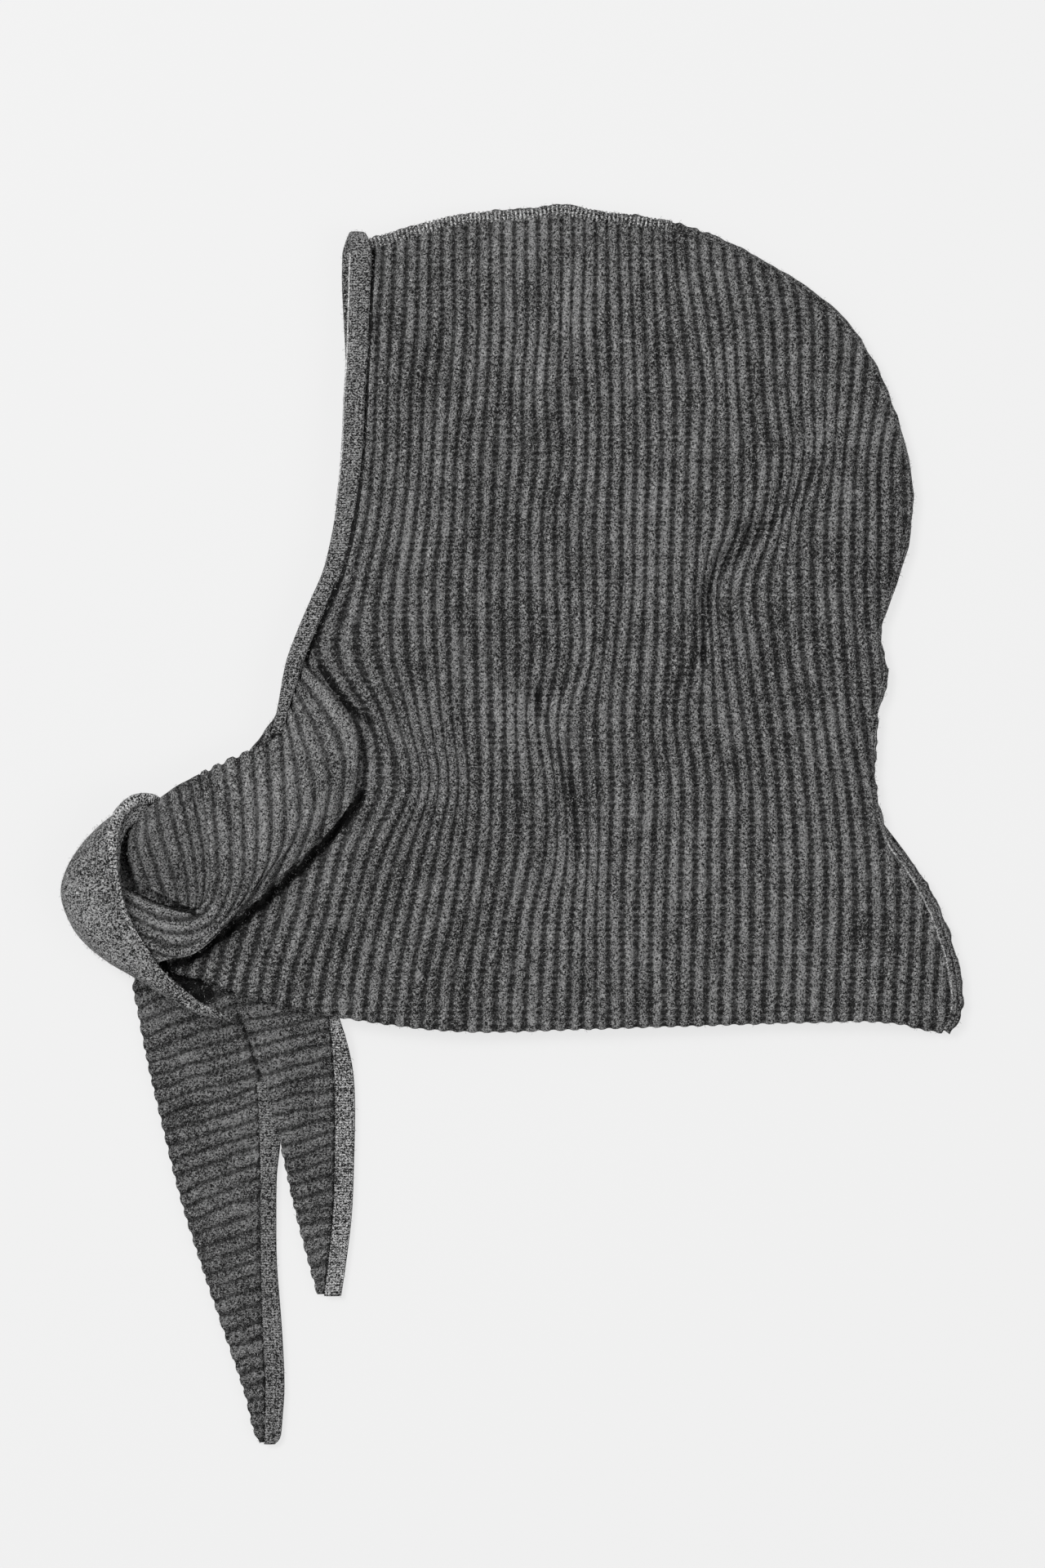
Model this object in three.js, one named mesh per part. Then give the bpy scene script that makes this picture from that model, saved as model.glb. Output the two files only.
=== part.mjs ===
import * as THREE from 'three';

// A ribbed wool hood, laid flat on its side with the wearer's left side up and its two ties
// knotted in front of the throat. Sizes are in millimetres. The back of the head points to +x,
// the crown to +y, and z is up from the floor that the right side lies on.

// Driving sizes
const HOOD_DEPTH = 252; // face edge to the back of the head, at brow height
const HOOD_HEIGHT = 382; // hem to crown
const KNIT = 4; // thickness of the ribbed knit
const RIB_DEPTH = 1.2; // crest to valley
const HOOD_RIBS = 47; // ribs across one side of the hood
const TIE_RIBS = 18; // ribs across a gathered tie
const LONG_END_RIBS = 27; // ribs down the long end
const SHORT_END_RIBS = 17; // ribs down the short end
const BAND = 4.6; // thickness of the fine-knit band at the face
const SEAM = 4.6; // width and height of the seam's ridge
const FIT = 0.3; // room left between two pieces that lie on each other
const NAPE_ROOM = 1.2; // more room beside the seam where the nape curves in
const LIFT = 14; // height that the upper side floats at, over the floor
const TIE_BED = 8.6; // height that the upper side is pressed down to under the tie
const TIE_RISE = 14; // thickness of the gathered tie
const HEM_DROP = 2.5; // how much lower the upper side lies at the hem
const SEAM_PULL = 15; // distance over which the seam holds the upper side down
const KNOT_HEIGHT = 31; // height of the knot's loop over the floor

// Levels over the floor
const ON_LOWER_SIDE = KNIT + FIT;
const TIE_FLOOR = TIE_BED + KNIT + FIT;

// Outline tables. "across" is a share of HOOD_DEPTH from the face edge, "up" is a share of
// HOOD_HEIGHT from the hem, and "at" is the place along the line, from 0 to 1.
const CROWN = [
  { at: 0.0, across: 0.0106, up: 0.9659 },
  { at: 0.065, across: 0.0754, up: 0.9779 },
  { at: 0.125, across: 0.1357, up: 0.9888 },
  { at: 0.186, across: 0.196, up: 0.9958 },
  { at: 0.276, across: 0.2865, up: 0.9997 },
  { at: 0.352, across: 0.3619, up: 1.0047 },
  { at: 0.42, across: 0.4298, up: 0.9977 },
  { at: 0.503, across: 0.5127, up: 0.9898 },
  { at: 0.594, across: 0.6032, up: 0.9769 },
  { at: 0.677, across: 0.6861, up: 0.954 },
  { at: 0.752, across: 0.7615, up: 0.9261 },
  { at: 0.828, across: 0.8369, up: 0.8933 },
  { at: 0.886, across: 0.8972, up: 0.8535 },
  { at: 0.935, across: 0.9455, up: 0.8018 },
  { at: 0.969, across: 0.9802, up: 0.7421 },
  { at: 0.989, across: 0.9998, up: 0.6934 },
  { at: 1.0, across: 1.0088, up: 0.6536 },
];
const BACK = [
  { at: 0.0, across: 1.0767, up: -0.005 },
  { at: 0.03, across: 1.0948, up: 0.0119 },
  { at: 0.07, across: 1.1008, up: 0.0398 },
  { at: 0.12, across: 1.0948, up: 0.0736 },
  { at: 0.18, across: 1.0797, up: 0.1114 },
  { at: 0.24, across: 1.0495, up: 0.1612 },
  { at: 0.3, across: 1.0133, up: 0.197 },
  { at: 0.355, across: 0.9681, up: 0.2328 },
  { at: 0.42, across: 0.9455, up: 0.2755 },
  { at: 0.49, across: 0.9394, up: 0.3253 },
  { at: 0.57, across: 0.9425, up: 0.38 },
  { at: 0.65, across: 0.9621, up: 0.4317 },
  { at: 0.73, across: 0.95, up: 0.4845 },
  { at: 0.8, across: 0.9726, up: 0.5342 },
  { at: 0.88, across: 0.9967, up: 0.5839 },
  { at: 0.95, across: 1.0073, up: 0.6237 },
  { at: 1.0, across: 1.0088, up: 0.6536 },
];
const UPPER_HEM = [
  { at: 0.0, across: -0.3694, up: 0.0736 },
  { at: 0.04, across: -0.3016, up: 0.0627 },
  { at: 0.078, across: -0.2413, up: 0.0487 },
  { at: 0.115, across: -0.181, up: 0.0368 },
  { at: 0.16, across: -0.1056, up: 0.0249 },
  { at: 0.215, across: -0.0302, up: 0.0159 },
  { at: 0.27, across: 0.0452, up: 0.009 },
  { at: 0.325, across: 0.1206, up: 0.003 },
  { at: 0.4, across: 0.2262, up: 0.0 },
  { at: 0.505, across: 0.377, up: 0.003 },
  { at: 0.615, across: 0.5278, up: 0.006 },
  { at: 0.725, across: 0.6786, up: 0.009 },
  { at: 0.833, across: 0.8294, up: 0.0119 },
  { at: 0.898, across: 0.9198, up: 0.0129 },
  { at: 0.942, across: 0.9802, up: 0.0099 },
  { at: 0.973, across: 1.0224, up: 0.003 },
  { at: 1.0, across: 1.0601, up: -0.002 },
];
const UPPER_FRONT = [
  { at: 0.0, across: -0.3694, up: 0.0736 },
  { at: 0.09, across: -0.3589, up: 0.1612 },
  { at: 0.19, across: -0.3091, up: 0.2507 },
  { at: 0.29, across: -0.2262, up: 0.3303 },
  { at: 0.38, across: -0.1508, up: 0.3949 },
  { at: 0.45, across: -0.1116, up: 0.4476 },
  { at: 0.5, across: -0.095, up: 0.4755 },
  { at: 0.57, across: -0.0648, up: 0.5193 },
  { at: 0.64, across: -0.0377, up: 0.569 },
  { at: 0.72, across: -0.0181, up: 0.6287 },
  { at: 0.8, across: -0.006, up: 0.6983 },
  { at: 0.87, across: 0.0, up: 0.7779 },
  { at: 0.94, across: 0.0045, up: 0.8575 },
  { at: 1.0, across: 0.0106, up: 0.945 },
];
const LOWER_HEM = [
  { at: 0.0, across: -0.2488, up: 0.0716 },
  { at: 0.06, across: -0.1734, up: 0.0497 },
  { at: 0.13, across: -0.0754, up: 0.0259 },
  { at: 0.22, across: 0.0452, up: 0.0119 },
  { at: 0.36, across: 0.2262, up: 0.003 },
  { at: 0.58, across: 0.5278, up: 0.009 },
  { at: 0.81, across: 0.8294, up: 0.0139 },
  { at: 0.93, across: 0.9952, up: 0.0109 },
  { at: 1.0, across: 1.0767, up: -0.002 },
];
const LOWER_FRONT = [
  { at: 0.0, across: -0.2488, up: 0.0716 },
  { at: 0.05, across: -0.2744, up: 0.1214 },
  { at: 0.12, across: -0.2232, up: 0.1631 },
  { at: 0.2, across: -0.1553, up: 0.2049 },
  { at: 0.28, across: -0.0829, up: 0.2507 },
  { at: 0.34, across: -0.0332, up: 0.2905 },
  { at: 0.4, across: -0.009, up: 0.3352 },
  { at: 0.45, across: -0.0347, up: 0.38 },
  { at: 0.49, across: -0.0784, up: 0.4218 },
  { at: 0.53, across: -0.0995, up: 0.4516 },
  { at: 0.59, across: -0.0618, up: 0.5153 },
  { at: 0.66, across: -0.0317, up: 0.569 },
  { at: 0.74, across: -0.0121, up: 0.6287 },
  { at: 0.82, across: 0.0, up: 0.7182 },
  { at: 0.91, across: 0.0045, up: 0.8276 },
  { at: 1.0, across: 0.0075, up: 0.951 },
];

// Folds of the upper side: ridges rise, furrows fall. "from" and "to" are plan points, "width"
// is a share of HOOD_DEPTH and "rise" a share of LIFT.
const FOLDS = [
  { from: { across: 0.8294, up: 0.6983 }, to: { across: 0.7163, up: 0.6088 }, width: 0.0357, rise: -0.186 },
  { from: { across: 0.7163, up: 0.6088 }, to: { across: 0.6303, up: 0.5093 }, width: 0.0357, rise: -0.3 },
  { from: { across: 0.6303, up: 0.5093 }, to: { across: 0.6002, up: 0.4098 }, width: 0.0357, rise: -0.2 },
  { from: { across: 0.6786, up: 0.6585 }, to: { across: 0.5579, up: 0.4994 }, width: 0.0595, rise: 0.243 },
  { from: { across: 0.8294, up: 0.6187 }, to: { across: 0.7238, up: 0.4795 }, width: 0.0675, rise: 0.157 },
  { from: { across: 0.3016, up: 0.4397 }, to: { across: 0.377, up: 0.3601 }, width: 0.0357, rise: -0.157 },
  { from: { across: 0.377, up: 0.3601 }, to: { across: 0.3951, up: 0.2507 }, width: 0.0357, rise: -0.186 },
  { from: { across: 0.4373, up: 0.3999 }, to: { across: 0.4675, up: 0.2507 }, width: 0.0556, rise: 0.143 },
  { from: { across: 0.1885, up: 0.4596 }, to: { across: 0.2865, up: 0.3004 }, width: 0.0595, rise: 0.157 },
  { from: { across: 0.0754, up: 0.3999 }, to: { across: 0.181, up: 0.3004 }, width: 0.0516, rise: 0.186 },
  { from: { across: -0.0302, up: 0.6187 }, to: { across: 0.0302, up: 0.4596 }, width: 0.0516, rise: 0.129 },
  { from: { across: 0.2865, up: 0.8177 }, to: { across: 0.377, up: 0.6386 }, width: 0.0873, rise: 0.114 },
  { from: { across: 0.2262, up: 0.181 }, to: { across: 0.2865, up: 0.0119 }, width: 0.0873, rise: -0.114 },
  { from: { across: 0.6786, up: 0.2009 }, to: { across: 0.7238, up: 0.0119 }, width: 0.0952, rise: -0.1 },
];

// Middle line of the gathered tie, which presses the upper side down
const TIE_LINE = [
  { across: -0.0754, up: 0.38 },
  { across: -0.1086, up: 0.3203 },
  { across: -0.181, up: 0.2606 },
  { across: -0.2563, up: 0.2109 },
  { across: -0.3393, up: 0.1612 },
  { across: -0.3921, up: 0.1313 },
];

// Edges of the gathered tie. "top" runs down the band's end and on to the knot, "fold" runs
// from the crease to the knot.
const TIE_TOP = [
  { at: 0.0, across: -0.1116, up: 0.4447 },
  { at: 0.15, across: -0.1297, up: 0.4098 },
  { at: 0.3, across: -0.1448, up: 0.3671 },
  { at: 0.4, across: -0.181, up: 0.3472 },
  { at: 0.56, across: -0.2548, up: 0.3293 },
  { at: 0.72, across: -0.3167, up: 0.3094 },
  { at: 0.86, across: -0.3679, up: 0.2895 },
  { at: 1.0, across: -0.4071, up: 0.2696 },
];
const TIE_FOLD = [
  { at: 0.0, across: -0.0045, up: 0.3153 },
  { at: 0.13, across: -0.0302, up: 0.2755 },
  { at: 0.27, across: -0.0814, up: 0.2358 },
  { at: 0.45, across: -0.1583, up: 0.188 },
  { at: 0.62, across: -0.2262, up: 0.1472 },
  { at: 0.78, across: -0.2865, up: 0.1144 },
  { at: 0.9, across: -0.3438, up: 0.0875 },
  { at: 1.0, across: -0.3785, up: 0.0826 },
];
const TIE_CREASE = [
  { at: 0.0, across: -0.0045, up: 0.3153 },
  { at: 0.3, across: -0.006, up: 0.3551 },
  { at: 0.58, across: -0.0302, up: 0.3919 },
  { at: 0.8, across: -0.0724, up: 0.4218 },
  { at: 1.0, across: -0.1116, up: 0.4447 },
];
const TIE_END = [
  { at: 0.0, across: -0.3785, up: 0.0826 },
  { at: 0.2, across: -0.4026, up: 0.1114 },
  { at: 0.4, across: -0.4252, up: 0.1432 },
  { at: 0.6, across: -0.4388, up: 0.181 },
  { at: 0.8, across: -0.4403, up: 0.2228 },
  { at: 0.92, across: -0.4283, up: 0.2497 },
  { at: 1.0, across: -0.4071, up: 0.2696 },
];
const FAR_TIE_TOP = [
  { at: 0.0, across: -0.1116, up: 0.4218 },
  { at: 0.3, across: -0.1387, up: 0.3601 },
  { at: 0.45, across: -0.181, up: 0.3382 },
  { at: 0.72, across: -0.3121, up: 0.2994 },
  { at: 1.0, across: -0.3921, up: 0.2606 },
];
const FAR_TIE_FOLD = [
  { at: 0.0, across: -0.0302, up: 0.3303 },
  { at: 0.15, across: -0.0573, up: 0.2905 },
  { at: 0.3, across: -0.1056, up: 0.2547 },
  { at: 0.5, across: -0.1794, up: 0.2069 },
  { at: 0.7, across: -0.2458, up: 0.1661 },
  { at: 0.86, across: -0.3046, up: 0.1373 },
  { at: 1.0, across: -0.3694, up: 0.1154 },
];
const FAR_TIE_CREASE = [
  { at: 0.0, across: -0.0302, up: 0.3303 },
  { at: 0.5, across: -0.0513, up: 0.378 },
  { at: 1.0, across: -0.1116, up: 0.4218 },
];
const FAR_TIE_END = [
  { at: 0.0, across: -0.3694, up: 0.1154 },
  { at: 0.35, across: -0.4102, up: 0.1512 },
  { at: 0.7, across: -0.4283, up: 0.2109 },
  { at: 1.0, across: -0.3921, up: 0.2606 },
];

// The band round the face opening, from the knot up to the brow. "outer" and "inner" are the
// near side's two edges, "slip" is how far the far side stands out from under it.
const FACE_BAND = [
  { up: 0.3621, outer: -0.1764, inner: -0.1568, slip: 0.0 },
  { up: 0.38, outer: -0.1689, inner: -0.1478, slip: 0.0 },
  { up: 0.4049, outer: -0.1613, inner: -0.1372, slip: 0.0 },
  { up: 0.4297, outer: -0.1553, inner: -0.1252, slip: 0.0 },
  { up: 0.4546, outer: -0.1463, inner: -0.1131, slip: 0.0 },
  { up: 0.4894, outer: -0.1267, inner: -0.092, slip: 0.0 },
  { up: 0.5242, outer: -0.104, inner: -0.0679, slip: 0.0 },
  { up: 0.5591, outer: -0.0814, inner: -0.0452, slip: 0.0 },
  { up: 0.5988, outer: -0.0663, inner: -0.0302, slip: 0.0 },
  { up: 0.6386, outer: -0.0558, inner: -0.0196, slip: 0.0 },
  { up: 0.6784, outer: -0.0483, inner: -0.0121, slip: 0.0 },
  { up: 0.7232, outer: -0.0437, inner: -0.006, slip: 0.0 },
  { up: 0.768, outer: -0.0407, inner: -0.003, slip: 0.001 },
  { up: 0.8177, outer: -0.0377, inner: 0.0, slip: 0.004 },
  { up: 0.8674, outer: -0.0362, inner: 0.0015, slip: 0.009 },
  { up: 0.9122, outer: -0.0332, inner: 0.006, slip: 0.013 },
  { up: 0.949, outer: -0.0302, inner: 0.0075, slip: 0.014 },
];
const BROW_TURN = [20, 45, 70, 90, 110, 135, 160]; // steps of the turn at the brow, in degrees

// The knot's loop, from behind the top of the tie round the left to its tail. "base" and "top"
// are heights, as shares of KNOT_HEIGHT.
const KNOT_WRAP = [
  { outer: { across: -0.3921, up: 0.2875 }, inner: { across: -0.3981, up: 0.2755 }, base: 0.1936, top: 0.6452 },
  { outer: { across: -0.4252, up: 0.2895 }, inner: { across: -0.4177, up: 0.2676 }, base: 0.0968, top: 0.8065 },
  { outer: { across: -0.4569, up: 0.2746 }, inner: { across: -0.4358, up: 0.2537 }, base: 0, top: 0.9032 },
  { outer: { across: -0.4916, up: 0.2497 }, inner: { across: -0.4463, up: 0.2348 }, base: 0, top: 0.9677 },
  { outer: { across: -0.5293, up: 0.2248 }, inner: { across: -0.4494, up: 0.2149 }, base: 0, top: 1 },
  { outer: { across: -0.5564, up: 0.195 }, inner: { across: -0.4509, up: 0.193 }, base: 0, top: 1 },
  { outer: { across: -0.5655, up: 0.1651 }, inner: { across: -0.4463, up: 0.1691 }, base: 0, top: 0.9839 },
  { outer: { across: -0.5489, up: 0.1313 }, inner: { across: -0.4343, up: 0.1413 }, base: 0, top: 0.9516 },
  { outer: { across: -0.5217, up: 0.1064 }, inner: { across: -0.4192, up: 0.1184 }, base: 0, top: 0.9032 },
  { outer: { across: -0.4795, up: 0.0836 }, inner: { across: -0.3996, up: 0.0985 }, base: 0.0484, top: 0.8387 },
  { outer: { across: -0.4328, up: 0.0657 }, inner: { across: -0.3785, up: 0.0756 }, base: 0.1484, top: 0.7419 },
  { outer: { across: -0.377, up: 0.0428 }, inner: { across: -0.3468, up: 0.0557 }, base: 0.1775, top: 0.6452 },
  { outer: { across: -0.3167, up: 0.0209 }, inner: { across: -0.3046, up: 0.0328 }, base: 0.2775, top: 0.5484 },
  { outer: { across: -0.2503, up: 0.0099 }, inner: { across: -0.2488, up: 0.0169 }, base: 0.2839, top: 0.4355 },
];

// The two ends of the ties, from the knot to the tip: left and right edge at each height
const LONG_END = [
  { at: 0.0, up: 0.0587, left: -0.4298, right: -0.2533 },
  { at: 0.06, up: 0.0239, left: -0.4237, right: -0.2322 },
  { at: 0.17, up: -0.0378, left: -0.4056, right: -0.2081 },
  { at: 0.33, up: -0.1273, left: -0.3755, right: -0.199 },
  { at: 0.47, up: -0.2069, left: -0.3453, right: -0.1975 },
  { at: 0.61, up: -0.2865, left: -0.3076, right: -0.196 },
  { at: 0.75, up: -0.3661, left: -0.2669, right: -0.1915 },
  { at: 0.89, up: -0.4457, left: -0.2277, right: -0.1855 },
  { at: 1.0, up: -0.5034, left: -0.2096, right: -0.1885 },
];
const LONG_END_EDGE = [
  { at: 0.0, up: -0.1373, left: -0.1968, right: -0.1629 },
  { at: 0.2, up: -0.2069, left: -0.1953, right: -0.1644 },
  { at: 0.42, up: -0.2865, left: -0.1938, right: -0.1629 },
  { at: 0.64, up: -0.3661, left: -0.1892, right: -0.1538 },
  { at: 0.82, up: -0.4357, left: -0.184, right: -0.1508 },
  { at: 0.95, up: -0.4874, left: -0.1847, right: -0.1613 },
  { at: 1.0, up: -0.5053, left: -0.1862, right: -0.1689 },
];
const SHORT_END = [
  { at: 0.0, up: 0.0617, left: -0.2503, right: -0.0694 },
  { at: 0.12, up: 0.0169, left: -0.2322, right: -0.0618 },
  { at: 0.33, up: -0.0637, left: -0.19, right: -0.0588 },
  { at: 0.52, up: -0.1383, left: -0.1613, right: -0.0588 },
  { at: 0.74, up: -0.2268, left: -0.1312, right: -0.0618 },
  { at: 0.85, up: -0.2666, left: -0.1146, right: -0.0648 },
  { at: 1.0, up: -0.3223, left: -0.0935, right: -0.0724 },
];
const SHORT_END_EDGE = [
  { at: 0.0, up: 0.0189, left: -0.0596, right: -0.0437 },
  { at: 0.1, up: -0.0129, left: -0.057, right: -0.0302 },
  { at: 0.3, up: -0.0776, left: -0.0564, right: -0.0241 },
  { at: 0.55, up: -0.1572, left: -0.0567, right: -0.0226 },
  { at: 0.75, up: -0.2268, left: -0.0594, right: -0.0271 },
  { at: 0.92, up: -0.2915, left: -0.0651, right: -0.0362 },
  { at: 1.0, up: -0.3243, left: -0.07, right: -0.0498 },
];
const SHORT_END_REST = {
  onLongEnd: -0.1478, // it lies on the long end up to here
  onFloorAcross: -0.0935, // and on the floor from here on
  onFloorUp: -0.0557, // once it is this far below the hem
  offLongEndUp: -0.1771, // here the long end has tapered away from under it
  flatUp: -0.2368,
};

// Small maths helpers
const mix = (a, b, share) => a + (b - a) * share;
const clamp = (value) => Math.min(1, Math.max(0, value));
const ease = (value) => clamp(value) ** 2 * (3 - 2 * clamp(value));
const dome = (value) => Math.sqrt(Math.max(0, 1 - (2 * value - 1) ** 2));
const steps = (count) => Array.from({ length: count + 1 }, (_, i) => i / count);
const plan = (row) => new THREE.Vector2(row.across * HOOD_DEPTH, row.up * HOOD_HEIGHT);
const lift = (flat, z) => new THREE.Vector3(flat.x, flat.y, z);

// A smooth value of one column of a table, at a place from 0 to 1
function along(rows, at, column) {
  let i = 1;
  while (i < rows.length - 1 && rows[i].at < at) i += 1;
  const a = rows[i - 1];
  const b = rows[i];
  const slope = (p, q) => (q[column] - p[column]) / (q.at - p.at);
  const slopeA = i > 1 ? slope(rows[i - 2], b) : slope(a, b);
  const slopeB = i < rows.length - 1 ? slope(a, rows[i + 1]) : slope(a, b);
  const span = b.at - a.at;
  const s = (at - a.at) / span;
  const start = (1 + 2 * s) * (1 - s) ** 2 * a[column] + s * (1 - s) ** 2 * span * slopeA;
  const end = s ** 2 * (3 - 2 * s) * b[column] + s ** 2 * (s - 1) * span * slopeB;
  return start + end;
}

// A line in plan through a table's rows
const line = (rows) => (at) =>
  plan({ across: along(rows, at, 'across'), up: along(rows, at, 'up') });

// The same line moved sideways, to the left of its direction
const shifted = (rows, distance) => (at) => {
  const walk = line(rows);
  const ahead = walk(Math.min(1, at + 0.002)).sub(walk(Math.max(0, at - 0.002)));
  const side = new THREE.Vector2(-ahead.y, ahead.x).setLength(distance);
  return walk(at).add(side);
};

// A plan surface held by its four edges, u across and v up
function patch(hem, crown, front, back) {
  const corner = [hem(0), hem(1), crown(0), crown(1)];
  return (u, v) =>
    hem(u)
      .multiplyScalar(1 - v)
      .addScaledVector(crown(u), v)
      .addScaledVector(front(v), 1 - u)
      .addScaledVector(back(v), u)
      .addScaledVector(corner[0], -(1 - u) * (1 - v))
      .addScaledVector(corner[1], -u * (1 - v))
      .addScaledVector(corner[2], -(1 - u) * v)
      .addScaledVector(corner[3], -u * v);
}

// Distance from a plan point to a chain of plan points
function distanceTo(chain, spot) {
  let nearest = Infinity;
  for (let i = 1; i < chain.length; i += 1) {
    const from = chain[i - 1];
    const run = chain[i].clone().sub(from);
    const share = clamp(spot.clone().sub(from).dot(run) / run.lengthSq());
    nearest = Math.min(nearest, from.clone().addScaledVector(run, share).distanceTo(spot));
  }
  return nearest;
}

// Bodies are collected as triangles and turned right side out at the end
class Shell {
  constructor() {
    this.corners = [];
  }

  triangle(a, b, c) {
    this.corners.push(a, b, c);
  }

  quad(a, b, c, d) {
    this.triangle(a, b, c);
    this.triangle(a, c, d);
  }

  // joins two chains that run the same way, each entry with a place and a point
  bridge(upper, lower) {
    let i = 0;
    let j = 0;
    while (i < upper.length - 1 || j < lower.length - 1) {
      const upperNext = i < upper.length - 1 ? upper[i + 1].at : Infinity;
      const lowerNext = j < lower.length - 1 ? lower[j + 1].at : Infinity;
      if (upperNext <= lowerNext) {
        this.triangle(upper[i].point, lower[j].point, upper[i + 1].point);
        i += 1;
      } else {
        this.triangle(upper[i].point, lower[j].point, lower[j + 1].point);
        j += 1;
      }
    }
  }

  geometry() {
    let volume = 0;
    for (let i = 0; i < this.corners.length; i += 3) {
      const [a, b, c] = this.corners.slice(i, i + 3);
      volume += a.dot(b.clone().cross(c));
    }
    const ordered = volume > 0 ? this.corners : this.corners.slice().reverse();
    const made = new THREE.BufferGeometry().setFromPoints(ordered);
    made.computeVertexNormals();
    return made;
  }
}

// A sheet with thickness: a fine upper face, a coarser under face and a rim between them
function sheet({ topU, topV, underU, underV, top, under }) {
  const shell = new Shell();
  const face = (us, vs, place, turned) => {
    for (let i = 1; i < us.length; i += 1) {
      for (let j = 1; j < vs.length; j += 1) {
        const a = place(us[i - 1], vs[j - 1]);
        const b = place(us[i], vs[j - 1]);
        const c = place(us[i], vs[j]);
        const d = place(us[i - 1], vs[j]);
        if (turned) shell.quad(a, d, c, b);
        else shell.quad(a, b, c, d);
      }
    }
  };
  const rim = (us, vs, place) => [
    ...us.map((u) => ({ at: u, point: place(u, 0) })),
    ...vs.slice(1).map((v) => ({ at: 1 + v, point: place(1, v) })),
    ...us.slice(0, -1).reverse().map((u) => ({ at: 3 - u, point: place(u, 1) })),
    ...vs.slice(0, -1).reverse().map((v) => ({ at: 4 - v, point: place(0, v) })),
  ];
  face(topU, topV, top, false);
  face(underU, underV, under, true);
  shell.bridge(rim(topU, topV, top), rim(underU, underV, under));
  return shell.geometry();
}

// A body through a row of rings with the same number of points, closed at both ends
function loft(rings) {
  const shell = new Shell();
  const count = rings[0].length;
  for (let i = 1; i < rings.length; i += 1) {
    for (let k = 0; k < count; k += 1) {
      const n = (k + 1) % count;
      shell.quad(rings[i - 1][k], rings[i - 1][n], rings[i][n], rings[i][k]);
    }
  }
  const cap = (ring, turned) => {
    for (let k = 0; k < count / 2 - 1; k += 1) {
      const square = [ring[k], ring[count - 1 - k], ring[count - 2 - k], ring[k + 1]];
      if (turned) square.reverse();
      shell.quad(...square);
    }
  };
  cap(rings[0], false);
  cap(rings[rings.length - 1], true);
  return shell.geometry();
}

// Rib height at a share of the width: crests at half ribs, valleys at whole ribs
const rib = (count, share) => (Math.round(share * count * 2) % 2 ? 0.5 : -0.5) * RIB_DEPTH;

// Heights of the upper side's under face
const TIE_CHAIN = TIE_LINE.map(plan);
const SEAM_CHAIN = [
  ...steps(40).map(line(BACK)),
  ...steps(40).slice(1).map((s) => line(CROWN)(1 - s)),
];
function upperHeight(spot) {
  let free = LIFT;
  for (const fold of FOLDS) {
    const away = distanceTo([plan(fold.from), plan(fold.to)], spot);
    free += LIFT * fold.rise * Math.exp(-((away / (HOOD_DEPTH * fold.width)) ** 2));
  }
  const hemShare = ease(1 - spot.y / (HOOD_HEIGHT * 0.16));
  free -= HEM_DROP * hemShare;
  const seamAway = Math.max(0, distanceTo(SEAM_CHAIN, spot) - SEAM - FIT);
  const seamHold = Math.exp(-((seamAway / SEAM_PULL) ** 1.3));
  const tieAway = distanceTo(TIE_CHAIN, spot);
  const tiePress = ease((HOOD_DEPTH * 0.19 - tieAway) / (HOOD_DEPTH * 0.07));
  const held = mix(free, ON_LOWER_SIDE, seamHold);
  return mix(held, TIE_BED, tiePress);
}

// The wearer's left side, ribbed from hem to crown
function leftSide() {
  const spread = patch(
    line(UPPER_HEM),
    shifted(CROWN, -SEAM - FIT),
    line(UPPER_FRONT),
    shifted(BACK, SEAM + FIT + NAPE_ROOM),
  );
  return sheet({
    topU: steps(2 * HOOD_RIBS),
    topV: steps(20),
    underU: steps(24),
    underV: steps(20),
    top: (u, v) => {
      const spot = spread(u, v);
      return lift(spot, upperHeight(spot) + KNIT + rib(HOOD_RIBS, u) - RIB_DEPTH / 2);
    },
    under: (u, v) => {
      const spot = spread(u, v);
      return lift(spot, upperHeight(spot));
    },
  });
}

// The wearer's right side, flat on the floor
function rightSide() {
  const spread = patch(
    line(LOWER_HEM),
    shifted(CROWN, -2 * FIT),
    line(LOWER_FRONT),
    shifted(BACK, 2 * FIT),
  );
  return sheet({
    topU: steps(26),
    topV: steps(18),
    underU: steps(26),
    underV: steps(18),
    top: (u, v) => lift(spread(u, v), KNIT),
    under: (u, v) => lift(spread(u, v), 0),
  });
}

// The linked seam, a low ridge on the lower side's edge
function centreSeam() {
  const middle = [
    ...steps(46).map(shifted(BACK, SEAM / 2 + FIT)),
    ...steps(34).slice(1).map((s) => shifted(CROWN, -SEAM / 2 - FIT)(1 - s)),
  ];
  const rings = middle.map((spot, i) => {
    const ahead = middle[Math.min(middle.length - 1, i + 1)].clone();
    ahead.sub(middle[Math.max(0, i - 1)]);
    const side = new THREE.Vector2(-ahead.y, ahead.x).setLength(SEAM / 2);
    const shape = [
      [0.6, 0],
      [1, 0.4],
      [0.6, 0.94],
      [-0.6, 0.94],
      [-1, 0.4],
      [-0.6, 0],
    ];
    return shape.map(([out, rise]) =>
      lift(spot.clone().addScaledVector(side, out), ON_LOWER_SIDE + rise * SEAM),
    );
  });
  return loft(rings);
}

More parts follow.
